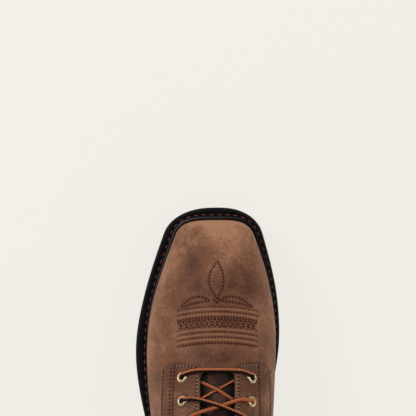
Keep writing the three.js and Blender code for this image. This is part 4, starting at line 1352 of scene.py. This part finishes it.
def eyestay_rows(side, steps):
    """Start row for each step across an eyestay, with its front corners rounded"""
    width = eyestay_width(side)
    front = row_at(at_share(EYESTAY_AT), side, THROAT_WIDTH / 2 + EYELET_INSET)
    across = np.linspace(0, width, steps)
    corner = np.clip(1 - np.minimum(across, width - across) / EYESTAY_CORNER, 0, 1)
    return across, front + CORNER_ROWS * (1 - np.sqrt(1 - corner ** 2))


def spread(us, starts):
    """How much wider an eyestay has grown at a row"""
    return 1 + EYESTAY_SPREAD * smooth((us - np.min(starts)) / SPREAD_ROWS)


def eyestay_height(across, along, width):
    """Height of an eyestay's face: a plateau, then the strip sewn over its outer edge. Also painted shade in
    the grooves of its stitch rows
    """
    groove = sum(np.exp(-((across - at) / (0.8 * MM)) ** 2) for at in (STRIP_FROM, width - STRIP_ROW))
    strip = smooth((across - STRIP_FROM) / (1.2 * MM)) * smooth((along - 2.5 * MM) / (2.5 * MM))
    inner = np.exp(-((across - EDGE_ROW) / (0.7 * MM)) ** 2)
    return OVERLAY + 0.45 * MM * strip - 0.35 * MM * groove - 0.22 * MM * inner, groove + inner


class BuildEyestays(bpy.types.Operator):
    """Builds the eyestays beside the throat and sews them down"""

    bl_idname = "boot.eyestays"
    bl_label = "Eyestays"

    def execute(self, context):
        light, dark, holes = Sewing(), Sewing(), Sewing()
        for side, name in SIDES.items():
            self.panel(side, name)
            self.sew(side, light, dark, holes)
        light.finish("eyestay_edge_stitches", "thread_light")
        dark.finish("eyestay_strip_stitches", "thread_dark")
        holes.finish("eyestay_needle_hole_shade", "hole_shade")
        return {"FINISHED"}

    def panel(self, side, name):
        across, starts = eyestay_rows(side, 50)
        steps = 130
        grid = np.empty((steps, len(across), 3))
        tone = np.empty((steps, len(across)))
        for j, (beyond, start) in enumerate(zip(across, starts)):
            us = np.linspace(start, COLLAR_ROW, steps)
            share = throat_share(us, side, CLEAR + beyond * spread(us, starts))
            base = on_upper(us, side, share)[:, 0]
            normal = upper_normals(us, side, share)[:, 0]
            height, seam_and_shade = eyestay_height(beyond, walked(base), eyestay_width(side))
            grid[:, j] = base + normal * (CLEAR + height)[:, None]
            tone[:, j] = seam_and_shade
        columns = np.arange(len(across))
        # Cut edges lightened: a paler cut edge together with a painted highlight. Stitch grooves get painted
        # shade
        edge = np.maximum(0, 1 - np.minimum(columns, columns[::-1]) / 1.5)
        bm = bmesh.new()
        tones = {"wear_and_light": wear_and_light(grid) + 0.5 * edge, "seam_and_shade": np.minimum(tone, 1) * 0.8}
        lay_toned(bm, grid, tones, flip=side > 0)
        cut(bm, (0, 0, COLLAR_Z - COLLAR_HEIGHT + 6 * MM), (0, 0, 1))
        keep(bm, f"eyestay_{name}_leather", [finish("overlay")], [f"eyestay_{name}"],
             leather_edges(OVERLAY + CLEAR, OVERLAY_ROUND))

    def sew(self, side, light, dark, holes):
        pitch = sizes().stitch
        width = eyestay_width(side)
        runs = [(EDGE_ROW, light, 1.1), (STRIP_FROM, dark, 1.3), (width - STRIP_ROW, dark, 1.3)]
        if side < 0:
            runs.append((STRIP_FROM + SECOND_ROW, dark, 1.0))
        across, starts = eyestay_rows(side, 80)
        for beyond, sewing, weight in runs:
            start = float(np.interp(beyond, across, starts)) + SEAM_STARTS
            us = np.linspace(start, COLLAR_ROW - SEAM_ENDS, 260)
            height, _ = eyestay_height(beyond, np.full(len(us), 10 * MM), width)
            grown = beyond * spread(us, starts)
            line = eyestay_point(us, side, CLEAR + grown, CLEAR + height + 0.1 * MM)
            normals = upper_normals(us, side, throat_share(us, side, grown))[:, 0]
            if sewing is light:
                front = np.linspace(STRIP_FROM - 1 * MM, EDGE_ROW, 40)
                rows = np.interp(front, across, starts) + EDGE_ROW / ROW_LENGTH
                lead = [eyestay_point([u], side, CLEAR + b, CLEAR + OVERLAY)[0] for u, b in zip(rows, front)]
                lead_normals = [eyestay_spot(u, side, b, 0)[1] for u, b in zip(rows, front)]
                after = us > rows[-1] + 0.02
                line = np.concatenate((lead, line[after]))
                normals = np.concatenate((lead_normals, normals[after]))
            sewing.row(line, normals, pitch, pitch * 0.55, sizes().thread * weight, EYESTAY_SLANT)
            holes.holes(line, normals, pitch, EYESTAY_HOLE, 0.05 * MM)


class BuildEyelets(bpy.types.Operator):
    """Builds the brass eyelets"""

    bl_idname = "boot.eyelets"
    bl_label = "Eyelets"

    def execute(self, context):
        top = 1.55 * MM
        profile = [
            (EYELET_HOLE, -3.5 * MM), (EYELET_HOLE, 0.7 * MM), (EYELET_HOLE + 0.35 * MM, top),
            (EYELET_HOLE + 1.0 * MM, top + 0.25 * MM), (EYELET_FLANGE - 0.9 * MM, top - 0.1 * MM),
            (EYELET_FLANGE - 0.1 * MM, top - 0.75 * MM), (EYELET_FLANGE, 0.25 * MM),
            (EYELET_FLANGE - 0.5 * MM, 0), (EYELET_BARREL, -0.2 * MM), (EYELET_BARREL, -3.5 * MM),
        ]
        for index, u in enumerate(eyelet_rows()):
            for side, name in SIDES.items():
                place, normal = eyestay_spot(u, side, EYELET_INSET, CLEAR + OVERLAY - 0.15 * MM)
                self.ring(profile, Vector(place), Vector(normal), f"{name}_{index + 1}")
        return {"FINISHED"}

    def ring(self, profile, place, normal, name):
        bm = bmesh.new()
        verts = [bm.verts.new((radius, 0, z)) for radius, z in profile]
        edges = [bm.edges.new((a, b)) for a, b in zip(verts, verts[1:] + verts[:1])]
        bmesh.ops.spin(
            bm, geom=verts + edges, cent=(0, 0, 0), axis=(0, 0, 1), angle=math.tau, steps=36,
            use_merge=True)
        for vert in bm.verts:
            radius = math.hypot(vert.co.x, vert.co.y)
            angle = math.atan2(vert.co.y, vert.co.x)
            share = max(0.0, (radius - EYELET_BARREL) / (EYELET_FLANGE - EYELET_BARREL))
            facet = 1 - 0.075 * share * (1 - math.cos(6 * angle)) / 2
            vert.co.x *= facet
            vert.co.y *= facet
        bmesh.ops.recalc_face_normals(bm, faces=bm.faces)
        turn = Vector((0, 0, 1)).rotation_difference(normal).to_matrix().to_4x4()
        bmesh.ops.transform(bm, matrix=Matrix.Translation(place) @ turn, verts=bm.verts)
        keep(bm, f"eyelet_ring_{name}", [finish("brass")], [f"eyelet_{name}"])


def lace_strand(bm, points, up, radius, turned=False):
    """A round cord along a line, with its two colours kept to its two sides"""
    line = curve_through(points, 0.7 * MM)
    along = unit(np.gradient(line, axis=0))
    side = unit(np.cross(line[-1] - line[0], up))
    sides = unit(side - along * (along @ side)[:, None])
    ups = np.cross(sides, along)
    count = 16
    angle = np.linspace(0, math.tau, count + 1) + (math.pi if turned else 0)
    rings = line[:, None] + radius * (
        np.cos(angle)[None, :, None] * sides[:, None] + np.sin(angle)[None, :, None] * ups[:, None])
    verts = lay_grid(bm, rings)
    uv = bm.loops.layers.uv["UVMap"]
    length = walked(line)[-1]
    faces = {face for vert in verts for face in vert.link_faces}
    for face in faces:
        for loop in face.loops:
            loop[uv].uv.y *= length / (0.42 * MM)
    bmesh.ops.remove_doubles(bm, verts=verts, dist=1e-7)
    bmesh.ops.holes_fill(bm, edges=[e for e in bm.edges if e.is_boundary], sides=0)


# Routes of the lace from an eyelet to the next, half out to the throat and half in again: share of
# the way, how far beyond the throat's edge, which height and how much more, both in mm, and how far
# the strand bows toward the toe. A height is taken from the upper, from the eyestay's face, from the
# eyelet's lip or from under the upper.
EYELET_MM = EYELET_INSET / MM
OVER_OUT = [
    (0, EYELET_MM + 0.5, "upper", -3, 0),
    (0, EYELET_MM + 0.2, "upper", 1.2, 0),
    (0, EYELET_MM - 1.6, "lip", 0, 0.25),
    (0.02, EYELET_MM - 5.2, "face", 0.5, 0.58),
    (0.07, 1.5, "face", 0, 0.85),
]
OVER_EDGES = [(0.09, 0, "face", 0, 0.87), (0.70, 0, "face", 0, 0.87)]
OVER_IN = [
    (0.73, 1.5, "face", 0, 0.85),
    (0.87, EYELET_MM - 5.2, "face", 0.5, 0.58),
    (0.97, EYELET_MM - 1.6, "lip", 0, 0.25),
    (1, EYELET_MM + 0.2, "upper", 1.2, 0),
    (1, EYELET_MM + 0.5, "upper", -3, 0),
]
UNDER_OUT = [
    (0, EYELET_MM + 0.3, "upper", -1.5, 0),
    (0.01, EYELET_MM - 1.2, "deep", 0, 0),
    (0.08, EYELET_MM - 7, "deep", -0.3, 0),
    (0.14, -0.5, "deep", 0, 0),
]
UNDER_IN = [(1 - share, *rest) for share, *rest in reversed(UNDER_OUT)]


class BuildLace(bpy.types.Operator):
    """Builds the lace: the bar, and the crossings over and under the eyestays"""

    bl_idname = "boot.lace"
    bl_label = "Lace"

    def execute(self, context):
        rows = eyelet_rows()
        bm = bmesh.new()
        self.over(bm, rows[0], rows[0], LATERAL, bar=True)
        self.close(bm, "lace_bar")
        for k in range(len(rows) - 1):
            bm = bmesh.new()
            for side in SIDES:
                (self.under if k % 2 == 0 else self.over)(bm, rows[k], rows[k + 1], side)
            self.close(bm, f"lace_cross_{k + 1}")
        return {"FINISHED"}

    def close(self, bm, node):
        bmesh.ops.recalc_face_normals(bm, faces=bm.faces)
        keep(bm, f"{node}_cord", [finish("lace")], [node])

    def route(self, table, start, end, side, bow=0.0):
        radius = sizes().lace / 2
        heights = {
            "upper": 0,
            "face": CLEAR + OVERLAY + radius,
            "lip": CLEAR + OVERLAY + EYELET_LIP + radius,
            "deep": -WALL - radius - CLEAR,
        }
        points = []
        for share, beyond, height, more, lift in table:
            u = start + (end - start) * share - lift * bow
            points.append(eyestay_point([u], side, beyond * MM, heights[height] + more * MM)[0])
        return points

    def over(self, bm, start, end, side, bar=False):
        """A strand out of one eyelet, over the throat and into another"""
        bow = 0.25 if bar else 0.04
        radius = sizes().lace / 2
        edges = [self.route([row], start, end, way, bow)[0] for row, way in zip(OVER_EDGES, (side, -side))]
        rise = 0.5 * MM if bar else (0.9 if side < 0 else -0.5) * radius
        normal = ridge_spot((start + end) / 2)[1]
        lace_strand(bm, [
            *self.route(OVER_OUT, start, end, side, bow),
            (edges[0] + edges[1]) / 2 + normal * rise,
            *self.route(OVER_IN, start, end, -side, bow),
        ], normal, radius)

    def under(self, bm, start, end, side):
        """A strand under the eyestays, seen where it crosses the throat"""
        radius = sizes().lace / 2
        crown, normal = ridge_spot((start + end) / 2)
        tongue = WALL + 2 * CLEAR + TONGUE_DROP
        lace_strand(bm, [
            *self.route(UNDER_OUT, start, end, side),
            crown - normal * (tongue - radius * (2.7 if side < 0 else 1.05)),
            *self.route(UNDER_IN, start, end, -side),
        ], normal, radius, turned=True)


class BuildTongue(bpy.types.Operator):
    """Builds the soft leather tongue"""

    bl_idname = "boot.tongue"
    bl_label = "Tongue"

    def execute(self, context):
        front = row_at(at_share(THROAT_AT) + 2 * THROAT_CORNER, MEDIAL, 1 * MM)
        ridge_z = ridge_point(np.array([COLLAR_ROW - 1.0, COLLAR_ROW]))[1]
        end = COLLAR_ROW + TONGUE_ABOVE / (ridge_z[1] - ridge_z[0])
        steps, half = 150, 24
        t = np.linspace(0, 1, steps)
        us = front + (end - front) * t
        drop = TONGUE_DROP * smooth(t / TONGUE_DROPPED)
        width = TONGUE_FRONT_WIDTH + (TONGUE_WIDTH - TONGUE_FRONT_WIDTH) * smooth(t / TONGUE_WIDENED)
        rounding = np.clip((t - TONGUE_ROUND_FROM) / (1 - TONGUE_ROUND_FROM), 0, 1)
        top_round = 1 - TONGUE_ROUND * rounding ** 2
        grid = np.empty((steps, 2 * half + 1, 3))
        for j in range(-half, half + 1):
            side = LATERAL if j < 0 else MEDIAL
            girth = sections(us, side)[1][:, -1]
            edge = abs(j) / half
            share = edge * width / 2 * top_round / girth
            base = on_upper(us, side, share)[:, 0]
            normal = upper_normals(us, side, share)[:, 0]
            fold = 0.25 * MM * np.sin(us * 11 + 1.7 * np.sin(j * 0.21)) * smooth((1 - edge) * 3)
            fold = fold * smooth((0.8 - t) * 8)
            grid[:, j + half] = base - normal * (WALL + 2 * CLEAR + drop - fold)[:, None]
        # Painted shadow: in its front half, under the eyestays, the tongue darkens to near black toward its
        # sides
        under = smooth((0.5 - t) * 5)[:, None]
        beside = smooth((np.abs(grid[..., 0]) - 4.5 * MM) / (5 * MM))
        bm = bmesh.new()
        lay_toned(bm, grid, {"seam_and_shade": 1.25 * under * beside}, flip=True)
        piece = keep(bm, "tongue_leather", [finish("tongue")], ["tongue"],
                     leather_edges(TONGUE_THICK, 0.9 * MM))
        return {"FINISHED"}


class BuildCollar(bpy.types.Operator):
    """Builds the padded collar, rolled over the rim"""

    bl_idname = "boot.collar"
    bl_label = "Collar"

    def execute(self, context):
        centre_y = 22 * MM
        surface = upper_shape()["surface"]
        back_y, back_z = (float(value[0]) for value in base_point(np.array([COLLAR_ROW])))
        front_y, front_z = (float(value[0]) for value in ridge_point(np.array([COLLAR_ROW])))
        reach = self.front_angle(surface, centre_y)
        angles = np.linspace(-reach, reach, 150)
        levels = 22
        grid = np.empty((levels * 2 + 8, len(angles), 3))
        for j, angle in enumerate(angles):
            probe, _ = surface.round(COLLAR_Z - 12 * MM, angle, centre_y)
            share = (probe.y - back_y) / (front_y - back_y)
            rim = back_z + (front_z - back_z) * share - CLEAR
            foot = COLLAR_Z - COLLAR_HEIGHT - COLLAR_DIP * (1 - share)
            up = np.linspace(0, 1, levels)
            column = [surface.round(foot + (rim - RIM_DROP - foot) * t, angle, centre_y) for t in up]
            swell = [abs(math.sin(2 * math.pi * t)) for t in up]
            outer = [place + normal * (CLEAR + COLLAR_SEAM + (COLLAR_THICK - COLLAR_SEAM) * puff ** 0.55)
                     for (place, normal), puff in zip(column, swell)]
            inner = [place - normal * (WALL + LINING_GAP + LINING_PUFF * puff ** 0.6)
                     for (place, normal), puff in zip(column[::-1], swell[::-1])]
            place, normal = column[-1]
            flat = Vector((normal.x, normal.y, 0)).normalized()
            middle = place - flat * (ROLL_DEPTH - COLLAR_THICK * 0.4) / 2
            half = (ROLL_DEPTH + COLLAR_THICK * 0.6) / 2
            roll = [middle + flat * math.cos(turn) * half + Vector((0, 0, ROLL_RISE * math.sin(turn)))
                    for turn in np.linspace(0, math.pi, 10)[1:-1]]
            grid[:, j] = outer + roll + inner
        bm = bmesh.new()
        lay_grid(bm, grid)
        bmesh.ops.recalc_face_normals(bm, faces=bm.faces)
        piece = keep(bm, "collar_padding", [finish("collar")], ["collar"],
                     leather_edges(COLLAR_LEATHER, 0.4 * MM))
        return {"FINISHED"}

    def front_angle(self, surface, centre_y):
        """How far round from the back the throat's edge is"""
        def outside(angle):
            place, _ = surface.round(COLLAR_Z - 15 * MM, angle, centre_y)
            return abs(place.x) > THROAT_WIDTH / 2 + 1.2 * MM
        return widest_angle(math.radians(100), math.radians(179), outside)


class BuildHeelPanels(bpy.types.Operator):
    """Builds the heel counter and the backstay, each sewn down with two rows"""

    bl_idname = "boot.heel_panels"
    bl_label = "Heel Panels"

    def execute(self, context):
        sewing = Sewing()
        self.counter(sewing)
        self.backstay(sewing)
        sewing.finish("heel_stitches", "thread_dark")
        return {"FINISHED"}

    def counter(self, sewing):
        centre_y = 4 * MM
        surface = upper_shape()["surface"]
        front = at_share(COUNTER_TO)
        foot = sole_lift(front) + WELT_TOP + BEAD_RISE + 2 * CLEAR
        back_foot = HEEL_RISE + WELT_TOP + BEAD_RISE + 2 * CLEAR
        top = SEAT_Z + COUNTER_HEIGHT
        levels = 60
        found = []
        for z in np.linspace(back_foot, top, levels):
            share = (z - foot) / (top - foot)
            edge_y = front - COUNTER_HEIGHT * float(np.interp(share, COUNTER_EDGE_UP, COUNTER_EDGE_BACK))
            reach = [self.angle_to(surface, z, centre_y, edge_y, side) for side in SIDES]
            found.append([surface.round(z, angle, centre_y) for angle in np.linspace(*reach, 130)])
        grid, normals = self.panel(found, "counter")
        for inset in (2, 5):
            last = levels - 1 - inset // 2
            rim, rim_normals = (
                np.concatenate((of[:, inset], of[last, inset:-inset], of[::-1, -1 - inset]))
                for of in (grid, normals))
            self.sew(sewing, rim, rim_normals)

    def angle_to(self, surface, z, centre_y, edge_y, side):
        def behind(angle):
            return surface.round(z, side * angle, centre_y)[0].y < edge_y
        return side * widest_angle(0.0, math.radians(150), behind)

    def backstay(self, sewing):
        surface = upper_shape()["surface"]
        low = SEAT_Z + COUNTER_HEIGHT + CLEAR
        high = COLLAR_Z - COLLAR_HEIGHT - COLLAR_DIP + 4 * MM
        half = BACKSTAY_WIDTH / 2
        found = [[surface.toward(Vector((x, 0, z)), Vector((0, -1, 0))) for x in np.linspace(-half, half, 30)]
                 for z in np.linspace(low, high, 80)]
        grid, normals = self.panel(found, "backstay")
        for column in (2, -3):
            self.sew(sewing, grid[:, column], normals[:, column])

    def sew(self, sewing, line, normals):
        sewing.row(line, normals, sizes().stitch, sizes().stitch * 0.72, sizes().thread)

    def panel(self, found, name):
        """An overlay on places of the upper, given by rows with their normals"""
        places, normals = np.moveaxis(np.array(found), 2, 0)
        grid = places + normals * (CLEAR + OVERLAY)
        bm = bmesh.new()
        lay_toned(bm, grid, {"wear_and_light": wear_and_light(grid)})
        keep(bm, f"{name}_leather", [finish("overlay")], [name],
             leather_edges(OVERLAY, OVERLAY_ROUND))
        return grid, normals


class BuildSole(bpy.types.Operator):
    """Builds the outsole with its lugs, the heel, the midsole and the insole"""

    bl_idname = "boot.sole"
    bl_label = "Sole"

    def execute(self, context):
        self.outsole()
        self.heel()
        bm = bmesh.new()
        loft(bm, stack([
            (EDGE_STEP + 0.3 * MM, OUTSOLE_TOP + CLEAR * 0.5),
            (EDGE_STEP, OUTSOLE_TOP + CLEAR * 0.5 + 0.4 * MM),
            (EDGE_STEP, MIDSOLE_TOP - 0.4 * MM),
            (EDGE_STEP + 0.3 * MM, MIDSOLE_TOP),
        ]))
        keep(bm, "midsole_rubber", [finish("rubber")], ["midsole"])
        bm = bmesh.new()
        edge = feather_loop(-WELT_SEAT - SEAT_CLEAR)
        inner = feather_loop(-WELT_SEAT - SEAT_CLEAR - 1.2 * MM)
        loft(bm, [lifted(edge, MIDSOLE_TOP + CLEAR), lifted(edge, WELT_TOP + INSOLE_ABOVE - 1 * MM),
                  lifted(inner, WELT_TOP + INSOLE_ABOVE)])
        keep(bm, "footbed", [finish("footbed")], ["insole"])
        return {"FINISHED"}

    def outsole(self):
        bm = bmesh.new()
        loft(bm, stack([
            (EDGE_STEP * 1.6, LUG_DEPTH - 0.3 * MM),
            (EDGE_STEP / 2, LUG_DEPTH + 0.2 * MM),
            (0.35 * MM, LUG_DEPTH + EDGE_STEP * 0.7),
            (0, LUG_DEPTH + EDGE_STEP * 1.3),
            (0, OUTSOLE_TOP - 0.9 * MM),
            (0.3 * MM, OUTSOLE_TOP - 0.25 * MM),
            (0.95 * MM, OUTSOLE_TOP),
        ]))
        starts = np.arange(at_share(TREAD_FROM), at_share(TREAD_TO), -LUG_PITCH)
        for side in SIDES:
            for front, back in zip(starts, starts[1:]):
                self.lug(bm, side, front - GROOVE / 2, back + GROOVE / 2)
            self.lug(bm, side, TOE_Y + GROOVE, starts[0] + GROOVE / 2)
        self.rib(bm)
        keep(bm, "outsole_rubber", [finish("rubber")], ["outsole"])

    def block(self, bm, plan, planes, low, high):
        """Adds a block cut from a plan by planes, between two heights given as functions of y"""
        block = bmesh.new()
        block.faces.new([block.verts.new((x, y, 0)) for x, y in plan])
        for place, outward in planes:
            cut(block, place, outward)
        if block.faces:
            bmesh.ops.triangulate(block, faces=block.faces)
            made = bmesh.ops.extrude_face_region(block, geom=block.faces[:])
            grown = {v for v in made["geom"] if isinstance(v, bmesh.types.BMVert)}
            for vert in block.verts:
                vert.co.z = high(vert.co.y) if vert in grown else low(vert.co.y)
            bmesh.ops.recalc_face_normals(block, faces=block.faces)
            bevel_sharp(block, 50, 0.5 * MM)
            mesh = bpy.data.meshes.new("block")
            block.to_mesh(mesh)
            bm.from_mesh(mesh)
            bpy.data.meshes.remove(mesh)
        block.free()

    def tread(self, bm, planes):
        """Adds a block of the tread, hanging from the outsole"""
        def floor(y):
            return float(sole_lift(y))
        self.block(bm, sole_loop(EDGE_STEP * 0.9, 60), planes, floor, lambda y: floor(y) + LUG_DEPTH)

    def lug(self, bm, side, front, back):
        turn = side * GROOVE_SWEEP
        ahead = Vector((-math.sin(turn), math.cos(turn), 0))
        self.tread(bm, [
            ((0, front, 0), ahead),
            ((0, back, 0), -ahead),
            ((side * TREAD_RIB / 2, 0, 0), (-side, 0, 0)),
        ])

    def rib(self, bm):
        sides = [((side * TREAD_RIB / 2, 0, 0), (side, 0, 0)) for side in (MEDIAL, LATERAL)]
        self.tread(bm, [*sides, ((0, at_share(TREAD_TO), 0), (0, -1, 0))])

    def heel_plan(self, inset):
        """The sole's plan behind the heel's breast, which is hollowed in the middle"""
        def breast(x):
            arc = BREAST_RADIUS - GROOVE - np.sqrt(BREAST_RADIUS ** 2 - x ** 2)
            return at_share(BREAST_AT) + np.minimum(arc, 0)
        outline = sole_loop(inset, 90)
        behind = outline[:, 1] < breast(outline[:, 0])
        lateral = outline[behind & (outline[:, 0] <= 0)]
        medial = outline[behind & (outline[:, 0] > 0)]
        x = np.linspace(lateral[-1, 0], medial[0, 0], 40)
        return np.concatenate((medial, lateral, np.stack((x, breast(x)), axis=1)))

    def heel(self):
        bm = bmesh.new()
        rib = TREAD_RIB / 2
        groove = -HEEL_BEHIND / 2
        ahead, behind = Vector((0, groove, 0)), Vector((0, groove - GROOVE, 0))
        forward, right = Vector((0, 1, 0)), Vector((1, 0, 0))
        shelf = LUG_DEPTH + 1 * MM
        for planes in (
                [(ahead, -forward)],
                [(behind, forward)],
                [(ahead, forward), (behind, -forward), (rib * right, right), (-rib * right, -right)]):
            self.block(bm, self.heel_plan(HEEL_INSET), planes, lambda y: 0.0, lambda y: shelf)
        self.block(bm, self.heel_plan(EDGE_STEP), [], lambda y: shelf - 0.3 * MM,
                   lambda y: float(sole_lift(y)) + LUG_DEPTH - CLEAR)
        keep(bm, "heel_block", [finish("rubber")], ["heel"])


class BuildWelt(bpy.types.Operator):
    """Builds the welt, its glossy bead and its stitches"""

    bl_idname = "boot.welt"
    bl_label = "Welt"

    def execute(self, context):
        samples = 150
        inner = feather_loop(-WELT_SEAT, samples)

        def beyond(grow, height, inside):
            """A loop of the welt's top that keeps inside the sole's edge"""
            loop = feather_loop(grow, samples)
            lateral = sole_half(loop[:, 1], LATERAL) - inside
            medial = sole_half(loop[:, 1], MEDIAL) - inside
            loop[:, 0] = np.clip(loop[:, 0], -lateral, medial)
            return lifted(loop, WELT_TOP + height)

        bm = bmesh.new()
        edge = stack([
            (EDGE_STEP, MIDSOLE_TOP + CLEAR * 0.5),
            (EDGE_STEP, WELT_TOP - 1.0 * MM),
            (EDGE_STEP + 0.3 * MM, WELT_TOP - 0.3 * MM),
            (EDGE_STEP + 0.9 * MM, WELT_TOP),
        ], samples)
        loft(bm, [
            *edge,
            beyond(WELT_CHANNEL + 0.75 * MM, 0, EDGE_STEP + 0.9 * MM),
            beyond(WELT_CHANNEL + 0.3 * MM, -0.45 * MM, EDGE_STEP + 1.3 * MM),
            beyond(WELT_CHANNEL - 0.3 * MM, -0.45 * MM, EDGE_STEP + 1.9 * MM),
            beyond(WELT_CHANNEL - 0.75 * MM, 0, EDGE_STEP + 2.3 * MM),
            lifted(inner, WELT_TOP),
            lifted(inner, MIDSOLE_TOP + CLEAR * 0.5),
        ], ring=True)
        keep(bm, "welt_rubber", [finish("welt")], ["welt"])
        self.bead(samples)
        sewing = Sewing()
        line = beyond(WELT_CHANNEL, -0.25 * MM, EDGE_STEP + 1.6 * MM)
        line = np.concatenate((line, line[:1]))
        normals = np.tile((0.0, 0.0, 1.0), (len(line), 1))
        pitch = sizes().welt_stitch
        sewing.row(line, normals, pitch, pitch * 0.6, 1.1 * MM)
        sewing.finish("welt_stitches", "thread_rust")
        return {"FINISHED"}

    def bead(self, samples):
        """The bead between the upper and the welt, thin where the welt is narrow"""
        inside = feather_loop(2 * CLEAR, samples)
        outside = feather_loop(2 * CLEAR + BEAD_WIDTH, samples)
        side = np.where(outside[:, 0] < 0, LATERAL, MEDIAL)
        room = np.where(side < 0, sole_half(outside[:, 1], LATERAL), sole_half(outside[:, 1], MEDIAL))
        room = np.maximum(room - EDGE_STEP - BEAD_MARGIN, np.abs(inside[:, 0]) + BEAD_LEAST)
        narrow = np.abs(outside[:, 0]) > room
        outside[narrow, 0] = (side * room)[narrow]
        loops = []
        for k in range(13):
            turn = math.pi * k / 12
            share = (1 + math.cos(turn)) / 2
            height = BEAD_RISE * math.sin(turn) ** BEAD_FULLNESS - 0.1 * MM
            loops.append(lifted(inside + (outside - inside) * share, WELT_TOP + height))
        bm = bmesh.new()
        loft(bm, loops, ring=True)
        keep(bm, "welt_bead", [finish("bead")])


class BuildStage(bpy.types.Operator):
    """Sets the pale floor, the soft lights and the camera over the toe"""

    bl_idname = "boot.stage"
    bl_label = "Stage"

    def execute(self, context):
        bm = bmesh.new()
        bmesh.ops.create_grid(bm, x_segments=1, y_segments=1, size=6)
        mesh = bpy.data.meshes.new("floor")
        bm.to_mesh(mesh)
        bm.free()
        floor = bpy.data.objects.new("floor", mesh)
        context.scene.collection.objects.link(floor)
        material, w = new_material("pale_floor")
        w.shade(
            Base_Color=darker(colours().floor, 0.14), Emission_Color=tuple(colours().floor),
            Emission_Strength=0.88, Roughness=1, Specular_IOR_Level=0)
        mesh.materials.append(material)
        self.light("key_light", (-1.2, 1.2, 1.3), 0.9, 17)
        self.light("fill_light", (1.2, 0.5, 1.5), 1.2, 6)
        self.light("back_light", (0.0, -1.4, 1.6), 1.4, 6)
        world = bpy.data.worlds.new("studio")
        world.use_nodes = True
        world.node_tree.nodes["Background"].inputs[0].default_value = (1, 0.99, 0.97, 1)
        world.node_tree.nodes["Background"].inputs[1].default_value = 0.42
        context.scene.world = world
        context.scene.view_settings.view_transform = "Standard"
        lens = bpy.data.cameras.new("camera")
        lens.sensor_width = SENSOR
        lens.lens = SENSOR * FOCAL_PX / FRAME_PX
        camera = bpy.data.objects.new("camera", lens)
        camera.location = CAMERA_AT
        context.scene.collection.objects.link(camera)
        context.scene.camera = camera
        return {"FINISHED"}

    def light(self, name, place, size, power):
        lamp = bpy.data.lights.new(name, "AREA")
        lamp.shape = "DISK"
        lamp.size = size
        lamp.energy = power
        lit = bpy.data.objects.new(name, lamp)
        lit.location = place
        lit.rotation_euler = (Vector((0, 0.1, 0.05)) - Vector(place)).to_track_quat("-Z", "Y").to_euler()
        bpy.context.scene.collection.objects.link(lit)


class BootPanel(bpy.types.Panel):
    """Lists the boot's pieces and settings"""

    bl_idname = "BOOT_PT_panel"
    bl_label = "Work Boot"
    bl_space_type = "VIEW_3D"
    bl_region_type = "UI"
    bl_category = "Boot"

    def draw(self, context):
        for settings in (context.scene.boot_sizes, context.scene.boot_colours):
            box = self.layout.box()
            for key in settings.bl_rna.properties.keys():
                if key not in {"rna_type", "name"}:
                    box.prop(settings, key)
        for piece in PIECES:
            self.layout.operator(piece.bl_idname)


PIECES = (
    BuildStage, BuildUpper, BuildVampStitches, BuildEyestays, BuildEyelets, BuildLace, BuildTongue,
    BuildCollar, BuildHeelPanels, BuildSole, BuildWelt,
)
CLASSES = (BootSizes, BootColours, *PIECES, BootPanel)


def register():
    for cls in CLASSES:
        bpy.utils.register_class(cls)
    bpy.types.Scene.boot_sizes = PointerProperty(type=BootSizes)
    bpy.types.Scene.boot_colours = PointerProperty(type=BootColours)


def unregister():
    del bpy.types.Scene.boot_colours
    del bpy.types.Scene.boot_sizes
    for cls in reversed(CLASSES):
        bpy.utils.unregister_class(cls)


def main():
    register()
    bpy.ops.boot.stage()
    bpy.ops.boot.upper()
    bpy.ops.boot.vamp_stitches()
    bpy.ops.boot.eyestays()
    bpy.ops.boot.eyelets()
    bpy.ops.boot.lace()
    bpy.ops.boot.tongue()
    bpy.ops.boot.collar()
    bpy.ops.boot.heel_panels()
    bpy.ops.boot.sole()
    bpy.ops.boot.welt()


if __name__ == "__main__":
    main()
